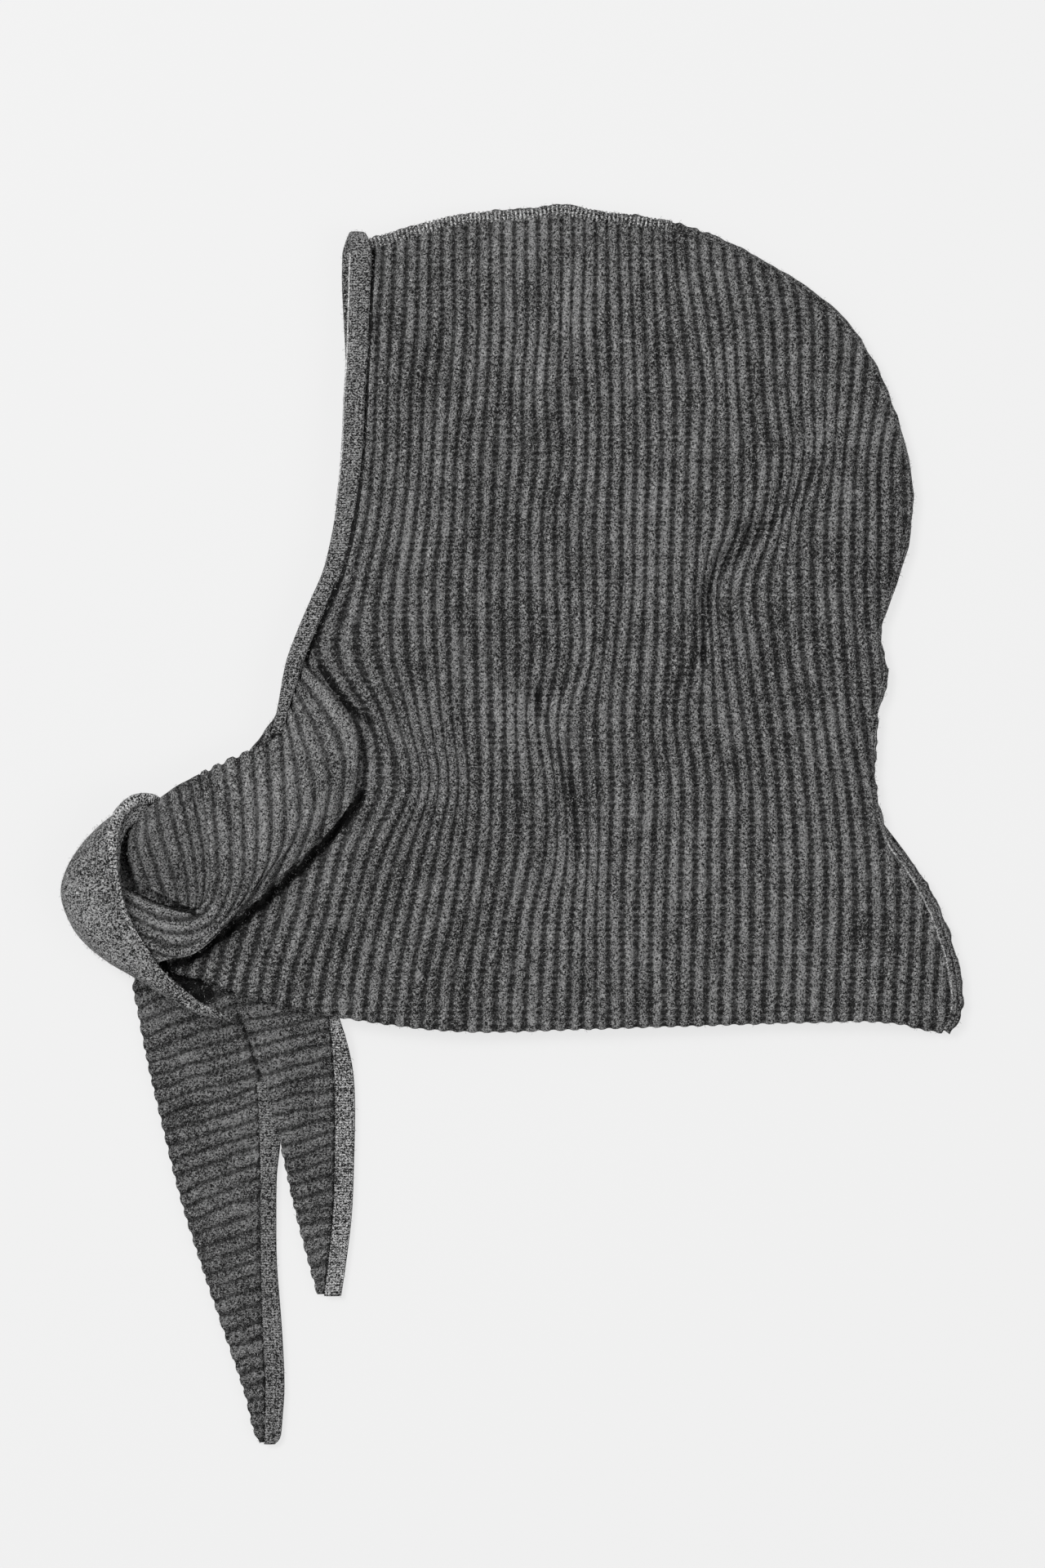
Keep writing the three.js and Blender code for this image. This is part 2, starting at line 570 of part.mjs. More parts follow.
// The band: up the near side, round the brow and down the far side
function faceBand() {
  const nearHeight = LIFT + BAND / 2;
  const farHeight = BAND / 2;
  const turn = (nearHeight - farHeight) / 2;
  const station = (row, angle, slip) => {
    const tilt = THREE.MathUtils.degToRad(angle);
    const outward = new THREE.Vector3(0, Math.sin(tilt), Math.cos(tilt));
    const ring = [];
    const edge = BAND / 2;
    const shape = [
      ['outer', 0.5],
      ['outer', 1],
      ['inner', 1],
      ['inner', 0.5],
      ['inner', -0.5],
      ['inner', -1],
      ['outer', -1],
      ['outer', -0.5],
    ];
    for (const [side, rise] of shape) {
      const soft = Math.abs(rise) === 1 ? BAND * 0.22 : 0;
      const inward = side === 'outer' ? soft : -soft;
      const x = (row[side] - slip) * HOOD_DEPTH + inward;
      const centre = new THREE.Vector3(x, row.up * HOOD_HEIGHT, farHeight + turn);
      ring.push(centre.addScaledVector(outward, turn + rise * edge));
    }
    return ring;
  };
  const brow = FACE_BAND[FACE_BAND.length - 1];
  return loft([
    ...FACE_BAND.map((row) => station(row, 0, 0)),
    ...BROW_TURN.map((angle) => station(brow, angle, (brow.slip * angle) / 180)),
    ...FACE_BAND.slice().reverse().map((row) => station(row, 180, row.slip)),
  ]);
}

// A gathered tie: a padded roll between its top edge and its fold
function leftTie() {
  const spread = patch(line(TIE_FOLD), line(TIE_TOP), line(TIE_CREASE), line(TIE_END));
  const rise = (u, v) => {
    const round = 0.32 + 0.68 * dome(mix(0.06, 0.94, v));
    const root = mix(0.5, 1, ease(u / 0.3));
    const knot = mix(1, 0.72, ease((u - 0.7) / 0.3));
    return TIE_RISE * round * root * knot;
  };
  return sheet({
    topU: steps(2 * TIE_RIBS),
    topV: steps(12),
    underU: steps(12),
    underV: steps(4),
    top: (u, v) => lift(spread(u, v), TIE_FLOOR + rise(u, v) + rib(TIE_RIBS, u)),
    under: (u, v) => lift(spread(u, v), TIE_FLOOR),
  });
}

function rightTie() {
  const spread = patch(
    line(FAR_TIE_FOLD),
    line(FAR_TIE_TOP),
    line(FAR_TIE_CREASE),
    line(FAR_TIE_END),
  );
  const height = TIE_BED - FIT;
  return sheet({
    topU: steps(12),
    topV: steps(5),
    underU: steps(12),
    underV: steps(5),
    top: (u, v) => lift(spread(u, v), height * mix(0.72, 1, dome(mix(0.1, 0.9, v)))),
    under: (u, v) => lift(spread(u, v), 0),
  });
}

// The knot's loop is one layer of knit that arches over the ties' ends
function knotWrap() {
  const layer = KNIT * 1.15;
  const rings = KNOT_WRAP.map((row) => {
    const from = plan(row.outer);
    const to = plan(row.inner);
    const base = KNOT_HEIGHT * row.base;
    const top = KNOT_HEIGHT * row.top;
    const wide = from.distanceTo(to);
    const wall = Math.min(layer, wide * 0.34);
    const tall = top - base;
    const roof = Math.min(layer, tall * 0.34);
    const spot = (distance, z) => lift(from.clone().lerp(to, distance / wide), z);
    return [
      spot(wall * 0.2, base),
      spot(0, base + tall * 0.4),
      spot(wide * 0.1, base + tall * 0.76),
      spot(wide * 0.42, top),
      spot(wide * 0.8, top - tall * 0.04),
      spot(wide, top - tall * 0.12),
      spot(wide * 0.97, top - tall * 0.12 - roof),
      spot(wide * 0.78, top - tall * 0.06 - roof),
      spot(wide * 0.46 + wall * 0.2, top - roof),
      spot(wide * 0.1 + wall * 0.9, base + tall * 0.68 - roof * 0.3),
      spot(wall, base + tall * 0.38),
      spot(wall * 1.1, base),
    ];
  });
  return loft(rings);
}

// A flat end or the band along its edge, ribbed across or smooth
function endPiece(rows, ribs, thick, floor, tilt) {
  const spread = (u, v) => {
    const up = along(rows, v, 'up');
    const across = mix(along(rows, v, 'left'), along(rows, v, 'right'), u);
    return plan({ across, up: up + tilt * (u - 0.5) * 4 * v * (1 - v) });
  };
  const coarse = Math.max(8, Math.round(ribs * 0.7));
  const count = ribs ? 2 * ribs : coarse;
  return sheet({
    topU: steps(2),
    topV: steps(count),
    underU: steps(2),
    underV: steps(coarse),
    top: (u, v) => {
      const spot = spread(u, v);
      const wave = ribs ? rib(ribs, v) - RIB_DEPTH / 2 : 0;
      return lift(spot, floor(spot) + thick + wave);
    },
    under: (u, v) => {
      const spot = spread(u, v);
      return lift(spot, floor(spot));
    },
  });
}

const onFloor = () => 0;
function onLongEnd(spot) {
  const rest = SHORT_END_REST;
  const across = spot.x / HOOD_DEPTH;
  const up = spot.y / HOOD_HEIGHT;
  const overEnd = 1 - ease((across - rest.onLongEnd) / (rest.onFloorAcross - rest.onLongEnd));
  const tapered = ease((up - rest.flatUp) / (rest.offLongEndUp - rest.flatUp));
  const underHem = ease((up - rest.onFloorUp) / (-0.006 - rest.onFloorUp));
  return ON_LOWER_SIDE * Math.max(overEnd * tapered, underHem);
}

// The pieces, each a mesh of its own
const PIECES = {
  left_side: leftSide(),
  right_side: rightSide(),
  centre_seam: centreSeam(),
  face_band: faceBand(),
  left_tie: leftTie(),
  right_tie: rightTie(),
  knot_wrap: knotWrap(),
  long_tie_end: endPiece(LONG_END, LONG_END_RIBS, KNIT, onFloor, 0.012),
  short_tie_end: endPiece(SHORT_END, SHORT_END_RIBS, KNIT, onLongEnd, 0.01),
  long_end_band: endPiece(LONG_END_EDGE, 0, KNIT, onFloor, 0),
  short_end_band: endPiece(SHORT_END_EDGE, 0, KNIT, onLongEnd, 0),
};
const SHADES = {
  left_side: 0x56565a,
  right_side: 0x4a4a4e,
  centre_seam: 0x626266,
  face_band: 0x66666a,
  left_tie: 0x5a5a5e,
  right_tie: 0x4a4a4e,
  knot_wrap: 0x5e5e62,
  long_tie_end: 0x525256,
  short_tie_end: 0x56565a,
  long_end_band: 0x66666a,
  short_end_band: 0x66666a,
};

const hood = new THREE.Group();
hood.name = 'snood_hood';
for (const [name, geometry] of Object.entries(PIECES)) {
  const material = new THREE.MeshStandardMaterial({ color: SHADES[name], roughness: 0.95 });
  material.name = `wool_${name}`;
  const mesh = new THREE.Mesh(geometry, material);
  mesh.name = name;
  hood.add(mesh);
}

// The origin goes to the middle of the footprint, on the floor
const box = new THREE.Box3().setFromObject(hood);
const centre = box.getCenter(new THREE.Vector3());
for (const mesh of hood.children) {
  mesh.geometry.translate(-centre.x, -centre.y, -box.min.z);
}

export default hood;
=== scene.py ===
# %% [markdown]
# # A knotted wool hood, laid flat
#
# The object is a hood of soft grey wool, knitted in wide ribs. It lies on its right side, so
# the camera above sees the left one: crown at the top, face opening at the left with a
# fine-knit band, and two ties knotted in front of the throat.
#
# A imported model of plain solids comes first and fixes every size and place. This notebook
# dresses it: each soft piece is made again as real cloth with real ribs, because a rib's
# rounded crest and dark furrow are what the eye reads as knitwear.

import bmesh
import bpy
import numpy as np
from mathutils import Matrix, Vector


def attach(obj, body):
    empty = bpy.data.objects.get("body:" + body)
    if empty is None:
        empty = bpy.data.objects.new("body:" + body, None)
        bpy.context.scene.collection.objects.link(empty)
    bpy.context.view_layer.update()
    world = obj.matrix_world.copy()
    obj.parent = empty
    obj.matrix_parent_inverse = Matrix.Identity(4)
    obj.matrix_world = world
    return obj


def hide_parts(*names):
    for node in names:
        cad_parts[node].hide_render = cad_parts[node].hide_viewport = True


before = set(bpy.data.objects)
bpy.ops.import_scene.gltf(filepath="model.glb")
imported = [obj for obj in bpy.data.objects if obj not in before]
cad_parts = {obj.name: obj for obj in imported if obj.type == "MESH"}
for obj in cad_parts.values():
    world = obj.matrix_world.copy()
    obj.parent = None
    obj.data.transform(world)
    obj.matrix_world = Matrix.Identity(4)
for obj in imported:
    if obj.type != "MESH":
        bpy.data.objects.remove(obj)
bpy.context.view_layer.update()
MM = 0.001

# %% [markdown]
# ## Sizes that everything shares
#
# All tables below are in millimetres, in the plain model's own frame: x to the back of the
# head, y to the crown, z up from the table. The lower side lies on the table, the upper side
# floats on its own folds, and under the gathered tie it is pressed down.

# %% Name the sizes and levels
KNIT = 3.8  # thickness of the cloth
RIB_RELIEF = 2.0
CREST_HALF = 1.75  # half the width of a rib's crest
FURROW_HALF = 0.18  # half the width of a furrow, counted in ribs
COURSE = 3.2  # height of one drawn course of stitches
FLOAT = 14.0  # level of the upper side where it lies free
SEAM_LEVEL = 4.3
TIE_BED = 8.6
TIE_FLOOR = TIE_BED + KNIT + 0.4
print("the upper side floats", FLOAT, "mm over the table; the tie starts at", TIE_FLOOR)

# %% [markdown]
# ## Smooth lines from short tables
#
# A tailor draws an outline from a few measured points and a smooth curve through them. So
# does `smooth`. `run` and `by_height` walk down a table, `line` along plan points, and
# `patch` fills the cloth between four lines. Whole arrays at once keep a fine mesh quick.


# %% Curves and patches
def rows_of(width, text):
    """A table of numbers, width to a row, wherever its lines break."""
    return np.array(text.split(), float).reshape(-1, width)


def smooth(knots, values, at):
    knots, values = np.asarray(knots, float), np.asarray(values, float)
    at = np.clip(np.asarray(at, float), knots[0], knots[-1])
    i = np.clip(np.searchsorted(knots, at, side="right") - 1, 0, len(knots) - 2)
    wide = lambda array: array.reshape(array.shape + (1,) * (values.ndim - 1))
    inner = (values[2:] - values[:-2]) / wide(knots[2:] - knots[:-2])
    ends = (values[1:] - values[:-1]) / wide(knots[1:] - knots[:-1])
    slope = np.concatenate([ends[:1], inner, ends[-1:]])
    span = wide(knots[i + 1] - knots[i])
    s = wide((at - knots[i])) / span
    start = (1 + 2 * s) * (1 - s) ** 2 * values[i] + s * (1 - s) ** 2 * span * slope[i]
    return start + s**2 * (3 - 2 * s) * values[i + 1] + s**2 * (s - 1) * span * slope[i + 1]


def run(table, at):
    """Down a table from 0 to 1, in even steps."""
    return smooth(np.linspace(0, 1, len(table)), table, at)


def by_height(table, at):
    """Down a table from 0 to 1, in steps of its first column."""
    return smooth((table[:, 0] - table[0, 0]) / (table[-1, 0] - table[0, 0]), table, at)


def running_length(points):
    return np.concatenate([[0], np.cumsum(np.linalg.norm(np.diff(points, axis=0), axis=1))])


def line(points, shares=None):
    if shares is None:
        shares = running_length(points) / running_length(points)[-1]
    return lambda at: smooth(shares, points, at)


def drawn(text):
    """A line through rows of: share of its length, x, y."""
    rows = rows_of(3, text)
    return line(rows[:, 1:], rows[:, 0])


def across_to(path):
    """The direction to the left of a path, at each of its points."""
    side = np.stack([-path[..., 1], path[..., 0]], -1)
    return side / np.linalg.norm(side, axis=-1, keepdims=True)


def beside(walk, distance):
    """The same line moved to the left of its direction, by a function of the place on it."""

    def moved(at):
        at = np.asarray(at, float)
        ahead = walk(np.minimum(at + 0.002, 1)) - walk(np.maximum(at - 0.002, 0))
        return walk(at) + (distance(at) + 0 * at)[..., None] * across_to(ahead)

    return moved


def patch(hem, crown, front, back):
    corners = [front(0.0), back(0.0), front(1.0), back(1.0)]

    def place(u, v):
        across, up = u[..., None], v[..., None]
        edges = hem(u) * (1 - up) + crown(u) * up + front(v) * (1 - across) + back(v) * across
        low = corners[0] * (1 - across) + corners[1] * across
        high = corners[2] * (1 - across) + corners[3] * across
        return edges - low * (1 - up) - high * up

    return place


def ease(value):
    value = np.clip(value, 0, 1)
    return value * value * (3 - 2 * value)


def between(value, start, end):
    """0 at start, 1 at end, and a soft step between them."""
    return ease((value - start) / (end - start))


def distance_to(chain, spots):
    """Distance of plan points to a chain of plan points."""
    nearest = np.full(spots.shape[:-1], np.inf)
    for start, end in zip(chain[:-1], chain[1:]):
        way = end - start
        share = np.clip(((spots - start) @ way) / (way @ way), 0, 1)
        away = np.linalg.norm(spots - start - share[..., None] * way, axis=-1)
        nearest = np.minimum(nearest, away)
    return nearest


def deep(spots, chain, reach):
    """1 on a line, falling softly to 0 beyond reach mm."""
    return np.exp(-((distance_to(chain, spots) / reach) ** 2))


# %% [markdown]
# ## Cloth with two faces and a rounded edge
#
# Cloth is never a single surface: its edge shows how thick it is. `cloth` makes a fine upper
# face for the camera, a coarser under face, and a rounded rim that joins them. `tube` and
# `round_tube` make the bodies that are carried along a path. Every body's UV map counts ribs
# one way and knitted courses the other, and an attribute tells how wide the furrow is; along
# the creases it is made larger to carry painted shade. The wool's shader reads both, so the
# stitches follow every fold.


# %% Make meshes
def knit_map(number, course, half=FURROW_HALF):
    return np.stack([number, course, half + 0 * number], -1)


def link(name, data):
    """A new object in the scene, with its size in print if it is a mesh."""
    thing = bpy.data.objects.new(name, data)
    bpy.context.scene.collection.objects.link(thing)
    if isinstance(data, bpy.types.Mesh):
        print(f"{name}: {sum(len(p.vertices) - 2 for p in data.polygons)} triangles")
    return thing


def set_knit(mesh, ribs_and_courses):
    layer = mesh.uv_layers.get("knit") or mesh.uv_layers.new(name="knit")
    corner = np.zeros(len(mesh.loops), int)
    mesh.loops.foreach_get("vertex_index", corner)
    layer.data.foreach_set("uv", ribs_and_courses[corner].ravel())


def finish_mesh(name, vertices, faces, knit):
    mesh = bpy.data.meshes.new(name)
    mesh.from_pydata((vertices * MM).tolist(), [], faces)
    set_knit(mesh, knit[:, :2])
    # The furrow attribute also carries the painted shade of the creases.
    mesh.attributes.new("furrow_and_shade", "FLOAT", "POINT").data.foreach_set("value", knit[:, 2])
    body = bmesh.new()
    body.from_mesh(mesh)
    bmesh.ops.remove_doubles(body, verts=body.verts, dist=1e-6)
    bmesh.ops.dissolve_degenerate(body, dist=1e-7, edges=body.edges)
    if body.calc_volume(signed=True) < 0:
        bmesh.ops.reverse_faces(body, faces=body.faces)
    body.to_mesh(mesh)
    body.free()
    mesh.polygons.foreach_set("use_smooth", [True] * len(mesh.polygons))
    return link(name, mesh)


def bridge(at, upper, low_at, lower):
    """Triangles between two chains of vertices that run the same way, by their places."""
    at, low_at = np.append(at, np.inf), np.append(low_at, np.inf)
    faces, i, j = [], 0, 0
    while i + j < len(upper) + len(lower) - 2:
        above = at[i + 1] <= low_at[j + 1]
        faces.append((upper[i], lower[j], upper[i + 1] if above else lower[j + 1]))
        i, j = (i + 1, j) if above else (i, j + 1)
    return faces


def pairs(first, second):
    return np.meshgrid(first, second, indexing="ij")


def lattice(across, up):
    return pairs(np.linspace(0, 1, across + 1), np.linspace(0, 1, up + 1))


def lattice_faces(across, up, first, turned):
    i, j = pairs(np.arange(across), np.arange(up))
    a = first + i * (up + 1) + j
    corners = [a, a + up + 1, a + up + 2, a + 1]
    if turned:
        corners.reverse()
    return np.stack([c.ravel() for c in corners], -1).tolist()


def rim(across, up, first):
    """The lattice's edge, once round: places from 0 to 4, and vertices."""
    at = first + np.arange((across + 1) * (up + 1)).reshape(across + 1, up + 1)
    places = [side + np.arange(n) / n for side, n in enumerate((across, up, across, up))]
    names = [at[:-1, 0], at[-1, :-1], at[:0:-1, -1], at[0, ::-1]]
    return np.append(np.concatenate(places), 4.0), np.concatenate(names)


def cloth(name, top, under, fine, coarse, roundness):
    """top and under take arrays u, v and give (points, knit map)."""
    points, maps, faces = [], [], []
    for face, grid, turned in ((top, fine, False), (under, coarse, True)):
        place, knit = face(*lattice(*grid))
        faces += lattice_faces(*grid, sum(map(len, points)), turned)
        points.append(place.reshape(-1, 3))
        maps.append(knit.reshape(-1, 3))
    first, count = len(points[0]), sum(map(len, points))
    (at, upper), (low_at, lower) = rim(*fine, 0), rim(*coarse, first)
    edge, low = points[0][upper], points[1][lower - first]
    beneath = np.stack([np.interp(at, low_at, low[:, c]) for c in range(3)], -1)
    ahead = np.roll(edge[:-1], -1, 0) - np.roll(edge[:-1], 1, 0)
    out = np.stack([ahead[:, 1], -ahead[:, 0], 0 * ahead[:, 0]], -1)
    out /= np.linalg.norm(out, axis=-1, keepdims=True) + 1e-9
    out = np.vstack([out, out[:1]])
    thick = np.linalg.norm(edge - beneath, axis=-1, keepdims=True)
    chains = [upper]
    for share in (0.25, 0.55, 0.85):
        bulge = roundness * np.sin(np.pi * share) * np.minimum(thick, 6)
        ring = edge * (1 - share) + beneath * share + out * bulge
        points.append(ring[:-1])
        maps.append(maps[0][upper[:-1]])
        names = count + np.arange(len(ring) - 1)
        chains.append(np.append(names, names[0]))
        count += len(names)
    for above, below in zip(chains[:-1], chains[1:]):
        faces += np.stack([above[:-1], below[:-1], below[1:], above[1:]], -1).tolist()
    faces += bridge(at, chains[-1].tolist(), low_at, lower.tolist())
    return finish_mesh(name, np.vstack(points), faces, np.vstack(maps))


def tube(name, rings, course, number):
    """A body through rings of points, closed at both ends, with its knit's courses and ribs."""
    stations, count = rings.shape[:2]
    i, k = pairs(np.arange(stations - 1), np.arange(count))
    n = (k + 1) % count
    quads = [i * count + k, i * count + n, (i + 1) * count + n, (i + 1) * count + k]
    faces = np.stack(quads, -1).reshape(-1, 4).tolist()
    for first, turned in ((0, False), ((stations - 1) * count, True)):
        for k in range(count // 2 - 1):
            square = [first + k, first + count - 1 - k, first + count - 2 - k, first + k + 1]
            faces.append(square[::-1] if turned else square)
    course, number = pairs(course, number)
    return finish_mesh(name, rings.reshape(-1, 3), faces, knit_map(number.ravel(), course.ravel()))


def round_tube(name, middle, level, half_width, half_height, course, ribs):
    """A soft body along plan points, its section an oval of 14 sides."""
    side = across_to(np.gradient(middle, axis=0))
    rings = []
    for turn in np.linspace(0, 2 * np.pi, 15)[:-1]:
        spots = middle + side * (half_width * np.cos(turn))[:, None]
        rings.append(np.column_stack([spots, level + half_height * np.sin(turn)]))
    return tube(name, np.stack(rings, 1), course, np.linspace(0, ribs, 14))


# %% [markdown]
# ## Where each rib runs
#
# The ribs are knitted straight from hem to crown, but the hood's cut edges cross them and the
# folds push them about. The chart gives the furrows between ribs at each height. From it
# `rib_number` tells for any place which rib it is on. A rib's crest is stiff and keeps its
# width, so where the ribs crowd only the furrows close: `furrow_half` works that out from the
# distance between ribs, and `relief` turns both into a rounded crest over a flat furrow.

# %% The rib chart
# furrow number, then its x at each height from the hem to the crown
RIB_CHART = rows_of(14, """
-9 -162.3 -159.3 -152.4 -144.4 -137.6 -128.1 -142.2 -132.3 -124.7 -121.3 -119.7 -119.4 -117.1
-5 -133.4 -130.4 -122.8 -115.9 -107.2 -105.3 -119.4 -109.5 -101.9 -98.5 -96.9 -96.6 -94.3
-1 -105.3 -102.3 -93.1 -86.7 -74.9 -78.7 -96.6 -86.7 -79.1 -75.7 -74.1 -73.8 -71.5
0 -98.5 -94.7 -86.3 -79.5 -68.8 -72.6 -90.9 -81 -73.4 -70 -68.4 -68.1 -65.8
3 -75.7 -73.8 -67.3 -58.9 -46.8 -53.2 -62.7 -61.6 -56.3 -53.2 -52.5 -50.2 -49.1
6 -56.3 -52.9 -47.5 -40.7 -33.9 -38 -41.5 -42.6 -39.2 -36.9 -35.4 -32.3 -32.7
9 -35.8 -33.9 -27.4 -22.8 -20.2 -22.8 -23.2 -23.6 -21.3 -20.6 -17.1 -15.6 -15.6
12 -15.2 -14.1 -9.5 -4.6 -3.8 -3.1 -3.8 -4.2 -3.1 -1.2 -0.4 1.5 1.1
15 5.3 6.8 9.5 15.9 15.9 11.7 15.5 14.4 14 17.4 15.5 17.8 17.8
18 25.8 26.9 28.1 30.4 27.7 26.2 33 32.3 31.9 34.5 34.5 32.3 33.8
21 45.2 44.8 44.4 45.2 46.3 45.2 47.5 50.9 50.9 51.6 51.6 50.9 49.7
24 64.2 64.2 64.6 65.7 67.2 64.9 66.5 67.2 68 69.5 68.7 66.8 65.7
27 83.6 83.6 84.7 85.1 85.1 81.3 85.1 85.1 87 87.4 89.3 85.5 81.3
30 102.9 103.7 104.8 104.5 104.8 101 97.2 95.7 105.6 106.7 104.8 102.9 98.8
33 122.7 124.2 125 125 123.1 119.7 115.9 112.4 121.6 125.7 122.3 121.2 117
36 143.6 144.4 145.5 145.5 142.8 139.4 134.9 133.3 133.3 140.2 139.4 139.8 137.1
39 163.4 164.9 166 165.3 162.2 156.9 154.6 152.3 152.3 154.2 157.3 159.9 155.8
42 182.7 184.6 186.5 186.2 182.4 177 172.9 170.6 171 171 176.7 178.2 174
45 202.9 203.6 205.5 204.4 200.6 195.3 191.1 188.8 189.6 188.8 194.9 196.4 192.2
48 221.1 221.9 223.8 222.6 218.8 213.5 209.3 207.1 207.8 207.1 213.1 214.7 210.5
""")
RIB_HEIGHTS = -102.1 + 30.4 * np.arange(14)  # on the last step the ribs run straight on

# %% Read the chart anywhere
raster_y = np.linspace(RIB_HEIGHTS[0], RIB_HEIGHTS[-1], 420)
raster_x = np.linspace(-175, 225, 1601)
furrows = smooth(RIB_HEIGHTS, np.vstack([RIB_CHART[:, 1:].T, RIB_CHART[:, -1]]), raster_y)
raster = np.array([np.interp(raster_x, row, RIB_CHART[:, 0]) for row in furrows])


def rib_number(spots):
    """Rib number at plan points, a whole number in each furrow."""
    across = np.clip((spots[..., 0] - raster_x[0]) / (raster_x[1] - raster_x[0]), 0, 1599.99)
    up = np.clip((spots[..., 1] - raster_y[0]) / (raster_y[1] - raster_y[0]), 0, 418.99)
    i, j = across.astype(int), up.astype(int)
    s, t = across - i, up - j
    low = raster[j, i] * (1 - s) + raster[j, i + 1] * s
    high = raster[j + 1, i] * (1 - s) + raster[j + 1, i + 1] * s
    return low * (1 - t) + high * t


def furrow_half(spots):
    """Half the width of a furrow, counted in ribs."""
    reach = np.array([0.5, 0.0])
    ribs_per_mm = rib_number(spots + reach) - rib_number(spots - reach)
    return np.clip(0.5 - CREST_HALF * ribs_per_mm, 0.13, 0.22)


def relief(number, half=FURROW_HALF):
    """0 on the floor of a furrow, 1 on a crest."""
    away = np.abs(number - np.round(number))
    return 0.75 * ease((away - 0.6 * half) / (1.1 * half)) + 0.25 * np.sin(np.pi * away)


def ribbed(plan, u, v):
    """Plan points of a ribbed side, with their ribs and furrow widths."""
    spots = plan(u, v)
    return spots, rib_number(spots), furrow_half(spots)


hem_ends = np.array([(-160.4, -67.1), (199.8, -96.0)])
print("ribs along the hem:", round(float(np.diff(rib_number(hem_ends))[0]), 1))

# %% [markdown]
# ## The upper side
#
# This is the wearer's left half of the hood, from the face band to the seam at the back, in
# the plain solid's outline. The surface floats, sinks to the seam all round, and is pressed
# down under the tie. Folds are ridges and furrows along short lines, each with a width and a
# rise. They are listed one by one: a cloth simulation gives folds too, but not these ones.

# %% Unevenness of the knit
def unevenness(spots, size, seed):
    """Smooth random values of about -1 to 1 over the plan, one knot each size mm."""
    knots = np.random.default_rng(seed).uniform(-1, 1, (160, 160))
    at = (spots + 320) / size
    i = np.clip(at.astype(int), 0, 158)
    s, t = ease(at[..., 0] - i[..., 0]), ease(at[..., 1] - i[..., 1])
    i, j = i[..., 0], i[..., 1]
    low = knots[i, j] * (1 - s) + knots[i + 1, j] * s
    high = knots[i, j + 1] * (1 - s) + knots[i + 1, j + 1] * s
    return low * (1 - t) + high * t


# %% Outline of the upper side
crown = drawn("""
0 -67.7 272.6  0.065 -48.3 278.3  0.125 -33.1 282.5  0.186 -17.9 285.2  0.276 4.9 286.7
0.352 23.9 288.6  0.42 41 285.9  0.503 61.9 282.9  0.594 84.7 277.9  0.677 105.6 269.2
0.752 124.6 258.6  0.828 143.6 246  0.886 158.8 230.8  0.935 171 211.1  0.969 179.7 188.3
0.989 184.6 169.6  1 186.9 154.4
""")
back = drawn("""
0 204 -97.1  0.03 208.6 -90.7  0.07 210.1 -80  0.12 208.6 -67.1  0.18 204.8 -52.7
0.24 197.2 -33.7  0.3 188.1 -20  0.355 176.7 -6.3  0.42 171 10  0.49 169.4 29  0.57 170.2 49.9
0.65 175.1 69.7  0.73 172.1 89.8  0.8 177.8 108.8  0.88 183.9 127.8  0.95 186.5 143
1 186.9 154.4
""")
hem = drawn("""
0 -160.4 -67.1  0.04 -143.3 -71.3  0.078 -128.1 -76.6  0.115 -112.9 -81.2  0.16 -93.9 -85.7
0.215 -74.9 -89.1  0.27 -55.9 -91.8  0.325 -36.9 -94.1  0.4 -10.3 -95.2  0.505 27.7 -94.1
0.615 65.7 -92.9  0.725 103.7 -91.8  0.833 141.7 -90.7  0.898 164.5 -90.3  0.942 179.7 -91.4
0.973 190.3 -94.1  1 199.8 -96
""")
front = drawn("""
0 -160.4 -67.1  0.09 -157.7 -33.7  0.19 -145.2 0.5  0.29 -124.3 30.9  0.38 -106.8 55.6
0.45 -97.7 75.8  0.5 -93.9 86.4  0.57 -87.1 103.1  0.64 -78.7 122.1  0.72 -74.1 144.9
0.8 -71.1 171.5  0.87 -69.6 201.9  0.94 -68.4 232.3  1 -67.3 268.4
""")

# %% [markdown]
# The seam is not equally wide to the eye. It shows over the forehead and at the nape, and
# between them the ribs roll over it and reach nearly to the outline.

# %% How much of the seam shows
def seam_on_crown(at):
    return smooth([0.0, 0.45, 0.62, 0.8, 1.0], [4.2, 4.0, 2.2, 1.0, 0.8], at)


def seam_on_back(at):
    shares = [0.0, 0.12, 0.27, 0.36, 0.5, 0.62, 0.7, 0.78, 0.88, 1.0]
    return smooth(shares, [4.6, 5.0, 4.4, 2.0, 1.2, 2.0, 0.8, 1.2, 1.6, 0.8], at)


upper_crown = beside(crown, lambda at: -seam_on_crown(at))
upper_back = beside(back, seam_on_back)
upper_plan = patch(hem, upper_crown, front, upper_back)
along = np.linspace(0, 1, 81)
SEAM_LINE = np.vstack([upper_back(along), upper_crown(1 - along[1:])])

